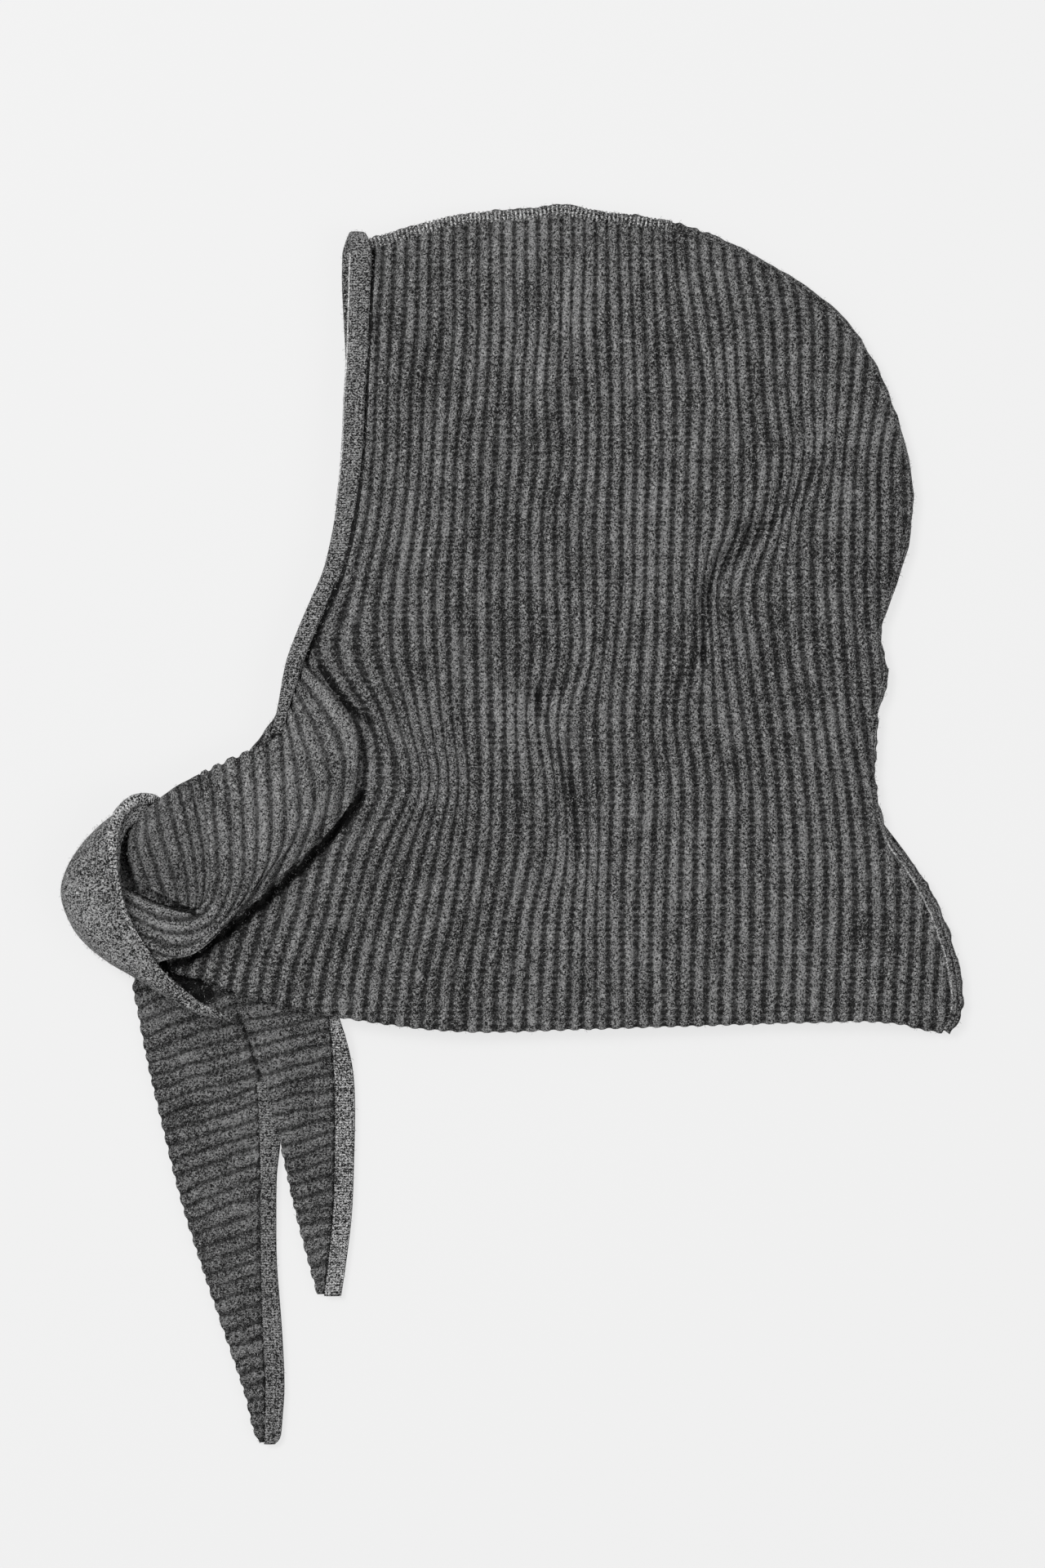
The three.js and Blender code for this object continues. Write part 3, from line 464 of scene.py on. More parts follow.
# %% Folds of the upper side
# start, end, width, rise
FOLDS = rows_of(6, """
147.4 177.2 127.3 155.6 6 -1.4  127.3 155.6 110.5 136.6 5 -2.6  110.5 136.6 97.6 123.7 4.5 -3.4
97.6 123.7 91.2 106.9 4.5 -3.6  91.2 106.9 88.5 80.3 4.5 -2.8  88.5 80.3 83.2 53.7 5 -1.4
105.6 150.6 80.9 114.5 12 2.6  80.9 114.5 71.4 68.9 13 1.8  141.7 141.1 111.3 95.5 17 1.8
6.8 80.3 15.5 61.3 7 -1.6  15.5 61.3 29.2 36.6 5 -2.6  29.2 36.6 32.3 0.5 5 -2.6
41 57.5 49.4 0.5 12 1.8  4.9 49.9 14 4.3 9 1.4  -25.5 84.1 4.9 42.3 14 2
-55.9 65.1 -25.5 19.5 10 2.6  -80.6 58.3 -56.7 27.1 4 -2.6  -74.9 148.7 -67.3 87.9 12 1.6
-48.3 224.7 -40.7 118.3 26 -1  4.9 217.1 27.7 148.7 22 1.8  50.5 224.7 58.1 141.1 26 -1.2
-10.3 -26.1 4.9 -90.7 22 -1.4  -55.9 -29.9 -59.7 -86.9 24 1.4  103.7 -18.5 115.1 -90.7 24 -1.2
145.5 -10.9 175.9 -83.1 18 1.4  181.6 -18.5 198.7 -47 4 1.6  198.7 -47 203.3 -88.8 4 1.8
191.9 -45.1 196.8 -92.6 4 -1.6  175.9 156.3 180.5 122.1 5 -1.6  166.8 103.1 171.3 61.3 6 1.6
175.9 167 179.7 137.3 3 1.6  171.3 162 173.6 135.4 2.6 -1.8  165.3 151.8 174 144.2 3 -1.6
""")
FOLD_RISE = 1.35  # all folds are this much higher and deeper than their rows say
# line, reach, how far it sinks, and how much painted shade it adds by widening the dark furrows
CREASES = [
    (rows_of(2, """
        -70 14.2  -77.9 2.1  -97.7 -19.6  -123.5 -42.4  -150.9 -62.2  -160.4 -67.1
    """), 2.2, 2.6, 0.5),
    (rows_of(2, "-89 73.9  -83.3 64.8  -77.9 57.2  -72.6 53.4  -66.5 48.4"), 1.75, 1.6, 0.4),
    (rows_of(2, """
        -64.6 270.3  -65 253.2  -65.8 232.3  -67.7 198.1  -68.8 179.1  -70.3 160.1
        -72.2 145.7  -74.5 133.5  -78.3 118.3  -84 104.3  -90.1 91.7  -95.4 78.4
    """), 1.2, 0.0, 0.5),
    (rows_of(2, """
        144.4 174.2  138.3 160.5  126.5 146.5  110.5 132.4  98.4 120.2  91.5 110.4
        89.6 90.2  89.3 75.8
    """), 3.0, 0.0, 0.24),
    (rows_of(2, "10.6 63.2  15.5 44.2  23.9 27.1  28.5 10  31.1 -14.7"), 2.6, 0.0, 0.24),
    (rows_of(2, "44.8 91  37.2 80.3  27.7 68.2  15.5 60.6"), 3.4, 0.0, 0.16),
    (rows_of(2, "87.7 80.3  77.9 68.2  71.8 51.5"), 3.0, 0.0, 0.16),
    (rows_of(2, "-10.3 49.9  -3.5 30.9  4.9 10"), 2.6, 0.0, 0.14),
]
TIE_LINE = rows_of(2, """
    -86.3 49.9  -94.7 27.1  -112.9 4.3  -131.9 -14.7  -152.8 -33.7  -166.1 -45.1
""")
PRESS_EDGE, PRESS_SOFT = 47.9, 17.6  # reach of the tie's weight, and how softly it ends
HEM_Y, HEM_REACH, HEM_DROOP = -94.5, 61, 2.5
SEAM_PULL = 15  # how far from the seam the cloth is held down


def upper_height(spots):
    """Level of the upper side's under face."""
    free = np.full(spots.shape[:-1], FLOAT)
    for *ends, width, rise in FOLDS:
        free += FOLD_RISE * rise * deep(spots, np.reshape(ends, (2, 2)), width)
    free -= HEM_DROOP * ease(1 - (spots[..., 1] - HEM_Y) / HEM_REACH)
    from_seam = distance_to(SEAM_LINE, spots)
    held = free + (SEAM_LEVEL - free) * np.exp(-((from_seam / SEAM_PULL) ** 1.3))
    pressed = ease((PRESS_EDGE - distance_to(TIE_LINE, spots)) / PRESS_SOFT)
    sunk = sum(sink * deep(spots, chain, reach) for chain, reach, sink, _ in CREASES)
    return held + (TIE_BED - held) * pressed - sunk


# %% Make the upper side
def upper_spots(u, v):
    """The side's plan, with each rib a little proud of the hem."""
    spots, number, half = ribbed(upper_plan, u, v)
    spots[..., 1] -= 0.2 * (relief(number, half) - 0.5) * np.exp(-v / 0.012)
    return spots, number, half


def upper_top(u, v):
    spots, number, half = upper_spots(u, v)
    uneven = 0.35 * unevenness(spots, 9.0, 5) + 0.25 * unevenness(spots, 4.1, 6)
    rise = upper_height(spots) + KNIT + RIB_RELIEF * (relief(number, half) - 0.85) + uneven
    # Painted shade along the creases: wider furrows there, which the wool paints dark.
    half = half + sum(crease_shade * deep(spots, chain, reach) for chain, reach, _, crease_shade in CREASES)
    return np.dstack([spots, rise]), knit_map(number, spots[..., 1] / COURSE, half)


def upper_under(u, v):
    spots, number, half = upper_spots(u, v)
    return np.dstack([spots, upper_height(spots)]), knit_map(number, spots[..., 1] / COURSE, half)


left_side = cloth("left_side_knit", upper_top, upper_under, (460, 175), (160, 70), 0.22)

# %% [markdown]
# ## The lower side
#
# The wearer's right half lies flat on the table under the upper one. It shows at the opened
# front edge, from below, and inside the hood.

# %% Make the lower side
lower_hem = drawn("""
0 -130 -67.9  0.06 -111 -76.2  0.13 -86.3 -85.3  0.22 -55.9 -90.7  0.36 -10.3 -94.1
0.58 65.7 -91.8  0.81 141.7 -89.9  0.93 183.5 -91  1 204 -96
""")
lower_front = drawn("""
0 -130 -67.9  0.05 -136.5 -48.9  0.12 -123.5 -32.9  0.2 -106.4 -16.9  0.28 -88.2 0.5
0.34 -75.7 15.7  0.4 -69.6 32.8  0.45 -77.2 49.9  0.49 -90.9 64.4  0.53 -94.3 77.3
0.59 -83.6 101.6  0.66 -75.3 122.1  0.74 -70.3 144.9  0.82 -67.3 179.1  0.91 -66.2 220.9
1 -65.4 268.1
""")
lower_sides = lower_front, beside(back, lambda at: 0.6)
lower_plan = patch(lower_hem, beside(crown, lambda at: -0.6), *lower_sides)


def lower_face(level, sign):
    def face(u, v):
        spots, number, half = ribbed(lower_plan, u, v)
        rise = level + sign * 1.2 * (relief(number, half) - 1)
        return np.dstack([spots, rise]), knit_map(number, spots[..., 1] / COURSE, half)

    return face


lower_grid = (250, 60)
right_side = cloth(
    "right_side_knit", lower_face(4.0, 1), lower_face(0.0, -1), lower_grid, lower_grid, 0.1
)

# %% [markdown]
# ## The gathered tie
#
# The front corner of the hood is drawn together and led to the knot. Its ribs start at the
# band and the top edge, run down over the roll and bend away to the knot along the fold. The
# cloth is lofted from furrow to furrow, so these ribs need no chart.

# %% Furrows of the tie
HEIGHT_OVER_ROLL = [0.30, 0.74, 0.96, 1.0, 0.98, 0.90, 0.62]
HEIGHT_TO_KNOT = [0.30, 0.70, 0.90, 0.84, 0.74, 0.70, 0.42]
# each row is one furrow: seven points from the top edge to its end
TIE_FURROWS = rows_of(14, """
-145.6 23.7 -143.3 10 -141.8 -7.1 -141 -24.2 -146 -36.7 -163.8 -35.9 -185.1 -25.3
-140.3 26.4 -138 10 -136.5 -9 -136.5 -28 -144.1 -41.3 -161.9 -42.4 -182.8 -32.9
-134.2 29.4 -131.5 11.9 -130 -9 -130.8 -29.1 -140.3 -45.8 -158.9 -49.2 -180.2 -40.5
-127.3 32.5 -125.1 11.9 -123.9 -9 -125.4 -28.3 -136.5 -47.3 -155.1 -55.7 -177.5 -48.1
-120.5 35.1 -118.6 13.8 -117.8 -7.1 -120.1 -25.3 -131.5 -44.3 -150.5 -60.3 -172.9 -56.5
-113.7 37.8 -112.1 17.6 -111.4 -1.4 -113.3 -18.5 -122.4 -33.7 -140.3 -52.7 -167.6 -64.8
-107.2 43.1 -105.7 23.3 -104.9 6.2 -105.7 -7.1 -109.5 -16.9 -115.9 -26.1 -125.1 -39.7
-104.5 49.9 -100.7 30.9 -98.5 15.7 -98.1 3.6 -100.4 -5.9 -104.5 -13.1 -111.4 -27.2
-102.3 56.8 -96.2 38.5 -92.4 24.1 -91.2 12.7 -92.4 3.6 -95 -4 -100 -16.9
-100.4 63.2 -91.6 46.9 -86.3 33.2 -84.4 21.8 -84.8 12.7 -86.3 5.1 -89.3 -7.1
-98.5 68.9 -87.4 53.7 -80.6 41.2 -77.9 30.2 -77.9 21.4 -78.7 14.2 -80.2 2.8
-95.4 74.6 -82.5 61.3 -73.4 49.2 -70.7 39.3 -70.7 31.7 -71.1 25.2 -72.6 14.2
""").reshape(-1, 7, 2)
TIE_HEIGHTS = np.array([HEIGHT_TO_KNOT] * 6 + [HEIGHT_OVER_ROLL] * 6)
FLAP_SHADOW = rows_of(2, """
    -178.6 -0.2  -178.3 -14.7  -176 -26.8  -167.6 -32.1  -160.4 -35.2  -154.3 -37.8
    -147.1 -39.7
""")
TIE_RISE = 13.5


def guided(rows, u, v):
    """A place between guide rows: u across them, v along them."""
    return run(np.stack([run(row, v[0]) for row in rows]), u[:, 0])


def tie_top(u, v):
    spots, height = guided(TIE_FURROWS, u, v), guided(TIE_HEIGHTS, u, v)
    root = 0.55 + 0.45 * ease((1 - u) / 0.3)
    number = u * (len(TIE_FURROWS) - 1)
    spots[..., 1] += 1.6 * (relief(number) - 0.5) * np.exp(-v / 0.03)
    uneven = 0.3 * unevenness(spots, 8.0, 9) + 0.25 * unevenness(spots, 3.7, 10)
    rise = TIE_FLOOR + TIE_RISE * height * root + RIB_RELIEF * (relief(number) - 0.5) + uneven
    # Painted shadow under the flap's free edge: the furrows widen there and the wool paints them
    # black.
    half = FURROW_HALF + 0.5 * deep(spots, FLAP_SHADOW, 1.8)
    return np.dstack([spots, rise]), knit_map(number, v * 36, half)


def tie_under(u, v):
    spots = guided(TIE_FURROWS, u, 0.03 + 0.94 * v)
    number = u * (len(TIE_FURROWS) - 1)
    return np.dstack([spots, np.full_like(u, TIE_FLOOR)]), knit_map(number, v * 36)


left_tie = cloth("left_tie_knit", tie_top, tie_under, (110, 120), (40, 30), 0.5)

# %% [markdown]
# Next to the knot the cloth folds over itself: a flap of fanned ribs lies on the ribs that
# run to the knot, and its free edge throws the dark line there. The flap is a second layer
# whose right side melts into the tie.

# %% The tie's flap
FLAP_FURROWS = rows_of(14, """
-177.1 -2.5 -177.9 -6.3 -177.9 -10.1 -177.5 -13.9 -176.7 -17.7 -175.6 -21.5 -174.5 -25.3
-173.7 3.2 -174.1 -2.1 -173.7 -7.4 -172.6 -12.8 -171 -18.5 -169.1 -23.8 -167.2 -28.7
-169.5 7.4 -169.1 0.5 -168 -6.3 -166.1 -13.5 -163.8 -20.4 -161.9 -26.8 -160.4 -32.1
-165 11.6 -163.4 2.8 -161.2 -5.9 -158.9 -14.3 -156.6 -22.6 -155.1 -29.9 -154.3 -35.2
-160 15.4 -157.4 5.5 -154.7 -4.4 -152 -13.9 -150.1 -23 -149.4 -31 -149.4 -37.1
-155.1 18.8 -151.7 8.1 -149 -2.5 -146.7 -12.8 -145.6 -22.6 -145.2 -31.4 -146 -37.8
-150.1 21.4 -146.7 10 -144.1 -1.4 -142.5 -12.4 -141.8 -22.6 -142.2 -30.6 -143.7 -36.3
-145.2 24.1 -142.2 11.9 -140.3 -0.2 -139.1 -11.6 -138.7 -21.5 -139.5 -28.3 -141.4 -32.9
""").reshape(-1, 7, 2)
FLAP_LEVEL = [0.45, 0.86, 1.08, 1.16, 1.14, 1.08, 1.0]


def flap_top(u, v):
    spots = guided(FLAP_FURROWS, u, v)
    side = 1 - 0.14 * ease((u - 0.7) / 0.3) - 0.25 * ease((0.25 - u) / 0.25)
    number = u * (len(FLAP_FURROWS) - 1)
    uneven = 0.3 * unevenness(spots, 8.0, 11) + 0.25 * unevenness(spots, 3.7, 12)
    level = TIE_FLOOR + TIE_RISE * run(FLAP_LEVEL, v) * side
    rise = level + 0.7 * RIB_RELIEF * (relief(number) - 0.5) + uneven
    return np.dstack([spots, rise]), knit_map(number, v * 22)


def flap_under(u, v):
    place, knit = flap_top(u, v)
    place[..., 2] -= KNIT
    return place, knit


flap = cloth("left_tie_flap", flap_top, flap_under, (80, 90), (40, 30), 0.4)

# %% [markdown]
# ## The far tie
#
# The other corner is gathered the same way under the first. Only its edges show, so it is a
# plain roll with its ribs across.

# %% Make the far tie
far_plan = patch(
    line(rows_of(2, """
        -74.9 30.9  -81.7 15.7  -93.9 2.1  -112.5 -16.2  -129.2 -31.8  -144.1 -48.9
        -166.1 -61
    """)),
    line(rows_of(2, "-98.5 65.9  -104.5 42.3  -113.7 33.2  -146 18.8  -175.6 7.4")),
    line(rows_of(2, "-74.9 30.9  -80.2 49.2  -98.5 65.9")),
    line(rows_of(2, "-166.1 -61  -181.3 -37.5  -186.6 -14.7  -175.6 7.4")),
)
FAR_RIBS, FAR_COURSES, FAR_RISE = 16, 25, 8.3


def far_top(u, v):
    bulge = np.sqrt(np.maximum(0, 1 - (2 * (0.1 + 0.8 * v) - 1) ** 2))
    number = u * FAR_RIBS
    rise = FAR_RISE * (0.72 + 0.28 * bulge) + relief(number) - 1
    return np.dstack([far_plan(u, v), rise]), knit_map(number, v * FAR_COURSES)


def far_under(u, v):
    number = u * FAR_RIBS
    return np.dstack([far_plan(u, v), 1 - relief(number)]), knit_map(number, v * FAR_COURSES)


right_tie = cloth("right_tie_knit", far_top, far_under, (112, 30), (112, 30), 0.3)

# %% [markdown]
# ## The knot's loop
#
# One tie wraps round both rolls as a single layer that arches over them. Its section is a
# wall outside, a roof, and a free inner edge that is finished with the fine band.

# %% Make the loop
# outer edge x and y, inner edge x and y, foot, roof
LOOP = rows_of(6, """
-165.3 11.6 -166.1 7.4 4 15  -169.9 13.1 -169.1 4.3 3 18  -175.6 12.3 -173.3 1.7 1.5 21.6
-181.7 8.1 -177.5 -1 0.5 24  -191.6 0.5 -180.2 -7.1 0 28.5  -200.7 -9.3 -180.9 -13.1 0 31
-207.5 -20.7 -180.9 -21.5 0 31  -209.8 -32.1 -179.8 -30.6 0 30.5
-205.6 -45.1 -176.7 -41.3 0 29.5  -198.8 -54.6 -172.9 -50 0 28  -188.1 -63.3 -168 -57.6 1.5 26
-176.4 -70.1 -162.7 -66.3 4.6 23  -162.3 -78.9 -154.7 -73.9 5.5 20
-147.1 -87.2 -144.1 -82.7 8.6 17  -130.4 -91.4 -130 -88.8 8.8 13.5
""")
loop_at = np.linspace(0, 1, 150)
loop = run(LOOP, loop_at)
# share of the width, share of the height, then walls and roofs counted in cloth thicknesses
ARCH = rows_of(4, """
0.02 0 0.2 0  0 0.2 0 0  0 0.4 0 0  0.03 0.6 0 0  0.1 0.78 0 0  0.22 0.91 0 0  0.38 0.98 0 0
0.55 1 0 0  0.72 0.985 0 0  0.88 0.95 0 0  0.97 0.9 0 0  1 0.86 0 -0.3  0.99 0.84 0 -0.75
0.94 0.88 0 -1  0.84 0.92 0 -1  0.7 0.95 0 -1  0.54 0.965 0 -1  0.38 0.95 0.1 -1
0.24 0.87 0.4 -1  0.12 0.74 0.75 -0.7  0.04 0.56 0.95 -0.3  0 0.4 1 0  0 0.2 1.1 0  0.02 0 1 0
""")


def loop_rings():
    outer, way = loop[:, :2], loop[:, 2:4] - loop[:, :2]
    foot, tall = loop[:, 4], loop[:, 5] - loop[:, 4]
    wide = np.linalg.norm(way, axis=-1)
    wall, roof = np.minimum(4.4, wide * 0.34), np.minimum(4.4, tall * 0.34)
    rings = []
    for share, height, walls, roofs in ARCH:
        distance = share + walls * wall / wide
        ripple = 0.35 * np.sin(distance * 26 + loop_at * 3) * (roofs == 0) * (height > 0.5)
        level = foot + tall * height + roofs * roof + ripple
        rings.append(np.column_stack([outer + way * distance[:, None], level]))
    return np.stack(rings, 1)


knot_loop = tube("knot_wrap_knit", loop_rings(), loop_at * 60, np.linspace(0, 8, len(ARCH)))

# %% [markdown]
# The loop's inner edge is the tie's own finished edge: the fine-knit band, which curls over.
# It is widest behind the roll and tapers to a thin lip. A flat tube along that edge gives it.

# %% Make the loop's curled rim
# x, y, width, level
RIM = rows_of(4, """
-163.1 11.2 3 14.5  -167.6 12.7 5 17.6  -174.5 11.9 5.6 21.6  -180.2 7 5.8 25.2
-183.2 0.2 5.6 27.6  -184.3 -9.3 5.2 28.8  -183.6 -19.6 4.2 29  -181.5 -30.2 3 28.5
-178.1 -40.9 2.4 27.6  -173.9 -49.6 2.1 26.2  -168.8 -57.6 1.9 24.3  -163.2 -66.3 1.7 21.6
-155.3 -73.9 1.6 18.8  -144.4 -82.7 1.5 16  -130.4 -89.5 1.3 13
""")
rim_at = np.linspace(0, 1, 200)
curl = run(RIM, rim_at)
curl_width = curl[:, 2] * (1 + 0.06 * unevenness(curl[:, :2], 3.0, 14))
curl_width = curl_width * ease(np.minimum(rim_at / 0.02, 1) + 0.3)
curl_height = np.minimum(2.2, curl_width * 0.42)
loop_rim = round_tube(
    "knot_wrap_rim", curl[:, :2], curl[:, 3], -curl_width / 2, curl_height, rim_at * 85, 8
)

# %% [markdown]
# ## The face band
#
# The opening is finished with a flat band in a much finer knit. It runs up the near side,
# turns over at the brow and comes back down the far side, which peeps out a little. One
# section, a soft flat rectangle, is carried along that path.

# %% Make the face band
# height, outer edge, inner edge, how far the far side stands out
BAND_PATH = rows_of(4, """
43.1 -111.8 -106.8 0  49.9 -109.9 -104.5 0  59.4 -108 -101.9 0  68.9 -106.4 -98.8 0
78.4 -104.2 -95.8 0  91.7 -99.2 -90.5 0  105 -93.5 -84.4 0  118.3 -87.8 -78.7 0
133.5 -84 -74.9 0  148.7 -81.4 -72.2 0  163.9 -79.5 -70.3 0  181 -78.3 -68.8 0
198.1 -77.6 -68.1 0.25  217.1 -76.4 -66.9 1.4  236.1 -75.7 -66.2 3  253.2 -75.3 -65.4 4.2
267.3 -74.9 -65 4.4
""")
# across and out, in halves of the band's width and thickness
SECTION = rows_of(2, """
-1 0  -0.98 0.5  -0.9 0.85  -0.72 1  -0.4 1.04  0 1.05  0.4 1  0.72 0.94  0.9 0.78  0.98 0.45
1 0  0.98 -0.45  0.9 -0.8  0.72 -0.96  0.4 -1  0 -1  -0.4 -1  -0.72 -0.96  -0.9 -0.8  -0.98 -0.5
""")
BAND = 4.6
STEPS_UP, STEPS_OVER = 150, 24


def band_rings():
    near = by_height(BAND_PATH, np.linspace(0, 1, STEPS_UP))
    height, outer, inner, out_below = np.vstack([near, near[[-1] * STEPS_OVER], near[::-1]]).T
    over = np.linspace(0, np.pi, STEPS_OVER + 2)[1:-1]
    angle = np.concatenate([np.zeros(STEPS_UP), over, np.full(STEPS_UP, np.pi)])
    middle, radius = (FLOAT + BAND) / 2, FLOAT / 2
    half = (inner - outer) / 2 * (1 - 0.22 * np.sin(angle) ** 2)
    centre = (inner + outer) / 2 - out_below * angle / np.pi
    rings = []
    for across, out in SECTION:
        reach = radius + out * BAND / 2
        y, z = height + reach * np.sin(angle), middle + reach * np.cos(angle)
        rings.append(np.column_stack([centre + across * half, y, z]))
    return np.stack(rings, 1)


band = band_rings()
band_ribs = np.concatenate([np.linspace(0, 9, 11), np.linspace(9, 0, 11)[1:-1]])
face_band = tube("face_band_knit", band, running_length(band[:, 5]), band_ribs)

# %% [markdown]
# The near side's free edge is a pale line, a painted highlight on the last row of loops where
# it catches the light. At the nape the cloth's edge shows the same way, as a low ridge beside the
# seam with a painted highlight.

# %% Make the pale edges
def edge_row(name, middle, radius):
    """A row of edge loops, as a thin round line through middle points."""
    turns = np.linspace(0, 2 * np.pi, 9)[:-1]
    around = radius * np.stack([np.cos(turns), 0 * turns, np.sin(turns)], -1)
    return tube(name, middle[:, None] + around, np.arange(len(middle)) * 2.0, np.linspace(0, 1, 8))


band_edge = edge_row("face_band_edge", band[70:149, 0] + [-0.1, 0.0, 1.4], 0.5)
nape = beside(back, lambda at: seam_on_back(at) + 0.2)(np.linspace(0.04, 0.37, 90))
nape_level = np.full(len(nape), SEAM_LEVEL + KNIT + 0.1)
nape_ridge = edge_row("centre_seam_ridge", np.column_stack([nape, nape_level]), 0.6)

# %% [markdown]
# ## The two pointed ends
#
# Below the knot hang the tapered ends, their ribs across, each with the fine band along its
# right edge. The short one lies on the long one near the knot and sinks to the table beside
# it, so its level follows what is under it.

# %% Edges of the ends
# height, left edge, right edge
LONG_END = rows_of(3, """
-52.7 -169.1 -138.7  -72.8 -176.7 -131.1  -86.1 -174.8 -123.5  -109.7 -170.3 -115.2
-143.9 -162.3 -117.1  -174.3 -154.7 -117.1  -204.7 -145.2 -116.7  -235.1 -134.9 -115.9
-265.5 -124.7 -114.8  -281.4 -120.9 -115.2  -287.9 -118.2 -115.6
""")
LONG_BAND = rows_of(3, """
-119.2 -119.4 -111.4  -132.5 -118.4 -108.7  -147.7 -117.8 -108.3  -162.9 -117.6 -109.9
-185.7 -117.5 -110.2  -204.7 -117.3 -109.9  -235.1 -116.5 -107.6  -261.7 -115.2 -106.4
-280.7 -115.4 -107.6  -286 -115.6 -108.3  -288.6 -115.9 -110.6
""")
SHORT_END = rows_of(3, """
-71.7 -130.4 -87.1  -88.8 -125.8 -84.4  -119.5 -115.2 -82.5  -148 -108 -82.3
-181.9 -100.7 -83.3  -200.9 -95.8 -85.2  -218.7 -90.9 -87.4
""")
SHORT_BAND = rows_of(3, """
-86.1 -85.5 -81.7  -100.2 -84 -77.2  -113.5 -83.3 -74.5  -128.7 -82.7 -73.4  -155.3 -82.7 -73.8
-181.9 -83.6 -74.9  -204.7 -85.9 -77.6  -219.5 -87.8 -79.8
""")
# line, reach, depth: how far the end sinks there and how much painted shade it gets
LONG_CREASES = [
    (rows_of(2, "-160.4 -65.6  -152.4 -72.4  -144.8 -78.5"), 7.0, 0.9),
    (rows_of(2, "-128.1 -86.9  -122 -104  -116.3 -121.1  -110.6 -142"), 1.6, 0.5),
    (LONG_BAND[:, [1, 0]], 1.1, 0.5),
]
SHORT_CREASES = [(SHORT_BAND[:, [1, 0]], 1.1, 0.5)]


def on_table(spots):
    return np.zeros(spots.shape[:-1])


def on_long_end(spots):
    x, y = spots[..., 0], spots[..., 1]
    over = (1 - between(x, -104.5, -90.9)) * between(y, -185.7, -162.9)
    return 4.3 * np.maximum(over, between(y, -116.5, -97.5))


def end_faces(table, level, ribs, slope, creases=(), crown=0.0):
    """The two faces of an end, or of a band if it has no ribs."""

    def place(u, v):
        height, left, right = np.moveaxis(by_height(table, v), -1, 0)
        spots = np.dstack([left * (1 - u) + right * u, height])
        if not ribs:
            return spots, u * 8
        sloped = v + slope * (spots[..., 0] - left) / (table[0, 0] - table[-1, 0])
        uneven = 0.3 * unevenness(spots, 24.0, 3) + 0.12 * unevenness(spots, 7.0, 4)
        return spots, sloped * ribs + uneven

    def top(u, v):
        spots, number = place(u, v)
        if ribs:
            spots[..., 0] -= 0.7 * (relief(number) - 0.5) * np.exp(-u / 0.05)
            # The creases sink the cloth a little and paint its furrows dark: painted shade in the
            # wedge by the loop, along the short end's edge and beside the bands.
            sink_and_shade = sum(depth * deep(spots, chain, reach) for chain, reach, depth in creases)
            knit = knit_map(number, spots[..., 0] / COURSE, 0.16 + 0.6 * sink_and_shade)
            wave = 1.2 * (relief(number) - 0.9) + 0.3 * unevenness(spots, 5.0, 7) - sink_and_shade
        else:
            knit = knit_map(number, spots[..., 1])
            wave = crown * np.sin(np.pi * u) ** 0.5
        return np.dstack([spots, level(spots) + 3.9 + wave]), knit

    def under(u, v):
        spots, number = place(u, v)
        course = spots[..., 0] / COURSE if ribs else spots[..., 1]
        return np.dstack([spots, level(spots)]), knit_map(number, course)

    return top, under


# %% Make the ends and their bands
long_faces = end_faces(LONG_END, on_table, 36, 0.3, LONG_CREASES)
short_faces = end_faces(SHORT_END, on_long_end, 23, 0.22, SHORT_CREASES)
long_edge = end_faces(LONG_BAND, on_table, 0, 0, crown=0.9)
short_edge = end_faces(SHORT_BAND, on_long_end, 0, 0, crown=0.9)
long_end = cloth("long_end_knit", *long_faces, (60, 216), (20, 60), 0.3)
short_end = cloth("short_end_knit", *short_faces, (60, 150), (20, 60), 0.3)
long_band = cloth("long_band_knit", *long_edge, (16, 120), (8, 50), 0.4)
short_band = cloth("short_band_knit", *short_edge, (16, 120), (8, 50), 0.4)

# %% [markdown]
# ## The seam
#
# The two sides are linked at the crown and down the back by a chain of small stitches over a
# rolled edge. The roll is a tube beside the upper side, from the nape to the brow.

# %% Make the rolled edge
seam_at = np.linspace(0, 1, 260)
seam_width = np.concatenate([seam_on_back(seam_at), seam_on_crown(1 - seam_at[1:])]) + 1.5
seam_on_nape = beside(back, lambda at: seam_on_back(at) / 2 + 0.4)(seam_at)
seam_on_brow = beside(crown, lambda at: 0.1 - seam_on_crown(at) / 2)(1 - seam_at[1:])
seam_path = np.vstack([seam_on_nape, seam_on_brow])
seam_level = np.full(len(seam_path), SEAM_LEVEL + 2.2)
lumps = 0.6 * unevenness(seam_path, 6.0, 8) + 0.6 * unevenness(seam_path, 2.6, 13)
swell = seam_width / 2 * (0.93 + 0.12 * relief(rib_number(seam_path))) + 0.9 * lumps
seam_height = 2.2 * (1 + 0.15 * lumps)
seam_courses = running_length(seam_path) / COURSE
centre_seam = round_tube(
    "centre_seam_edge", seam_path, seam_level, swell, seam_height, seam_courses, 7
)

# %% [markdown]
# The stitches are one small loop again and again, which is work for Geometry Nodes: points go
# in at the left, loops come out at the right. A `Machine` adds nodes, runs a round yarn along
# a path and sets copies of one shape on points. It makes the copies real, because an export
# drops instances. `run_nodes` sets the named sizes and reads the finished mesh.

# %% Helpers for node trees
def add_node(tree, kind, inputs=None, **settings):
    """Any node: its type, values or links or whole nodes for its sockets, its settings."""
    node = tree.nodes.new(kind)
    for key, value in settings.items():
        setattr(node, key, value)
    for key, value in (inputs or {}).items():
        if isinstance(value, bpy.types.Node):
            value = value.outputs[0]
        if isinstance(value, bpy.types.NodeSocket):
            tree.links.new(value, node.inputs[key])
        else:
            node.inputs[key].default_value = value
    return node


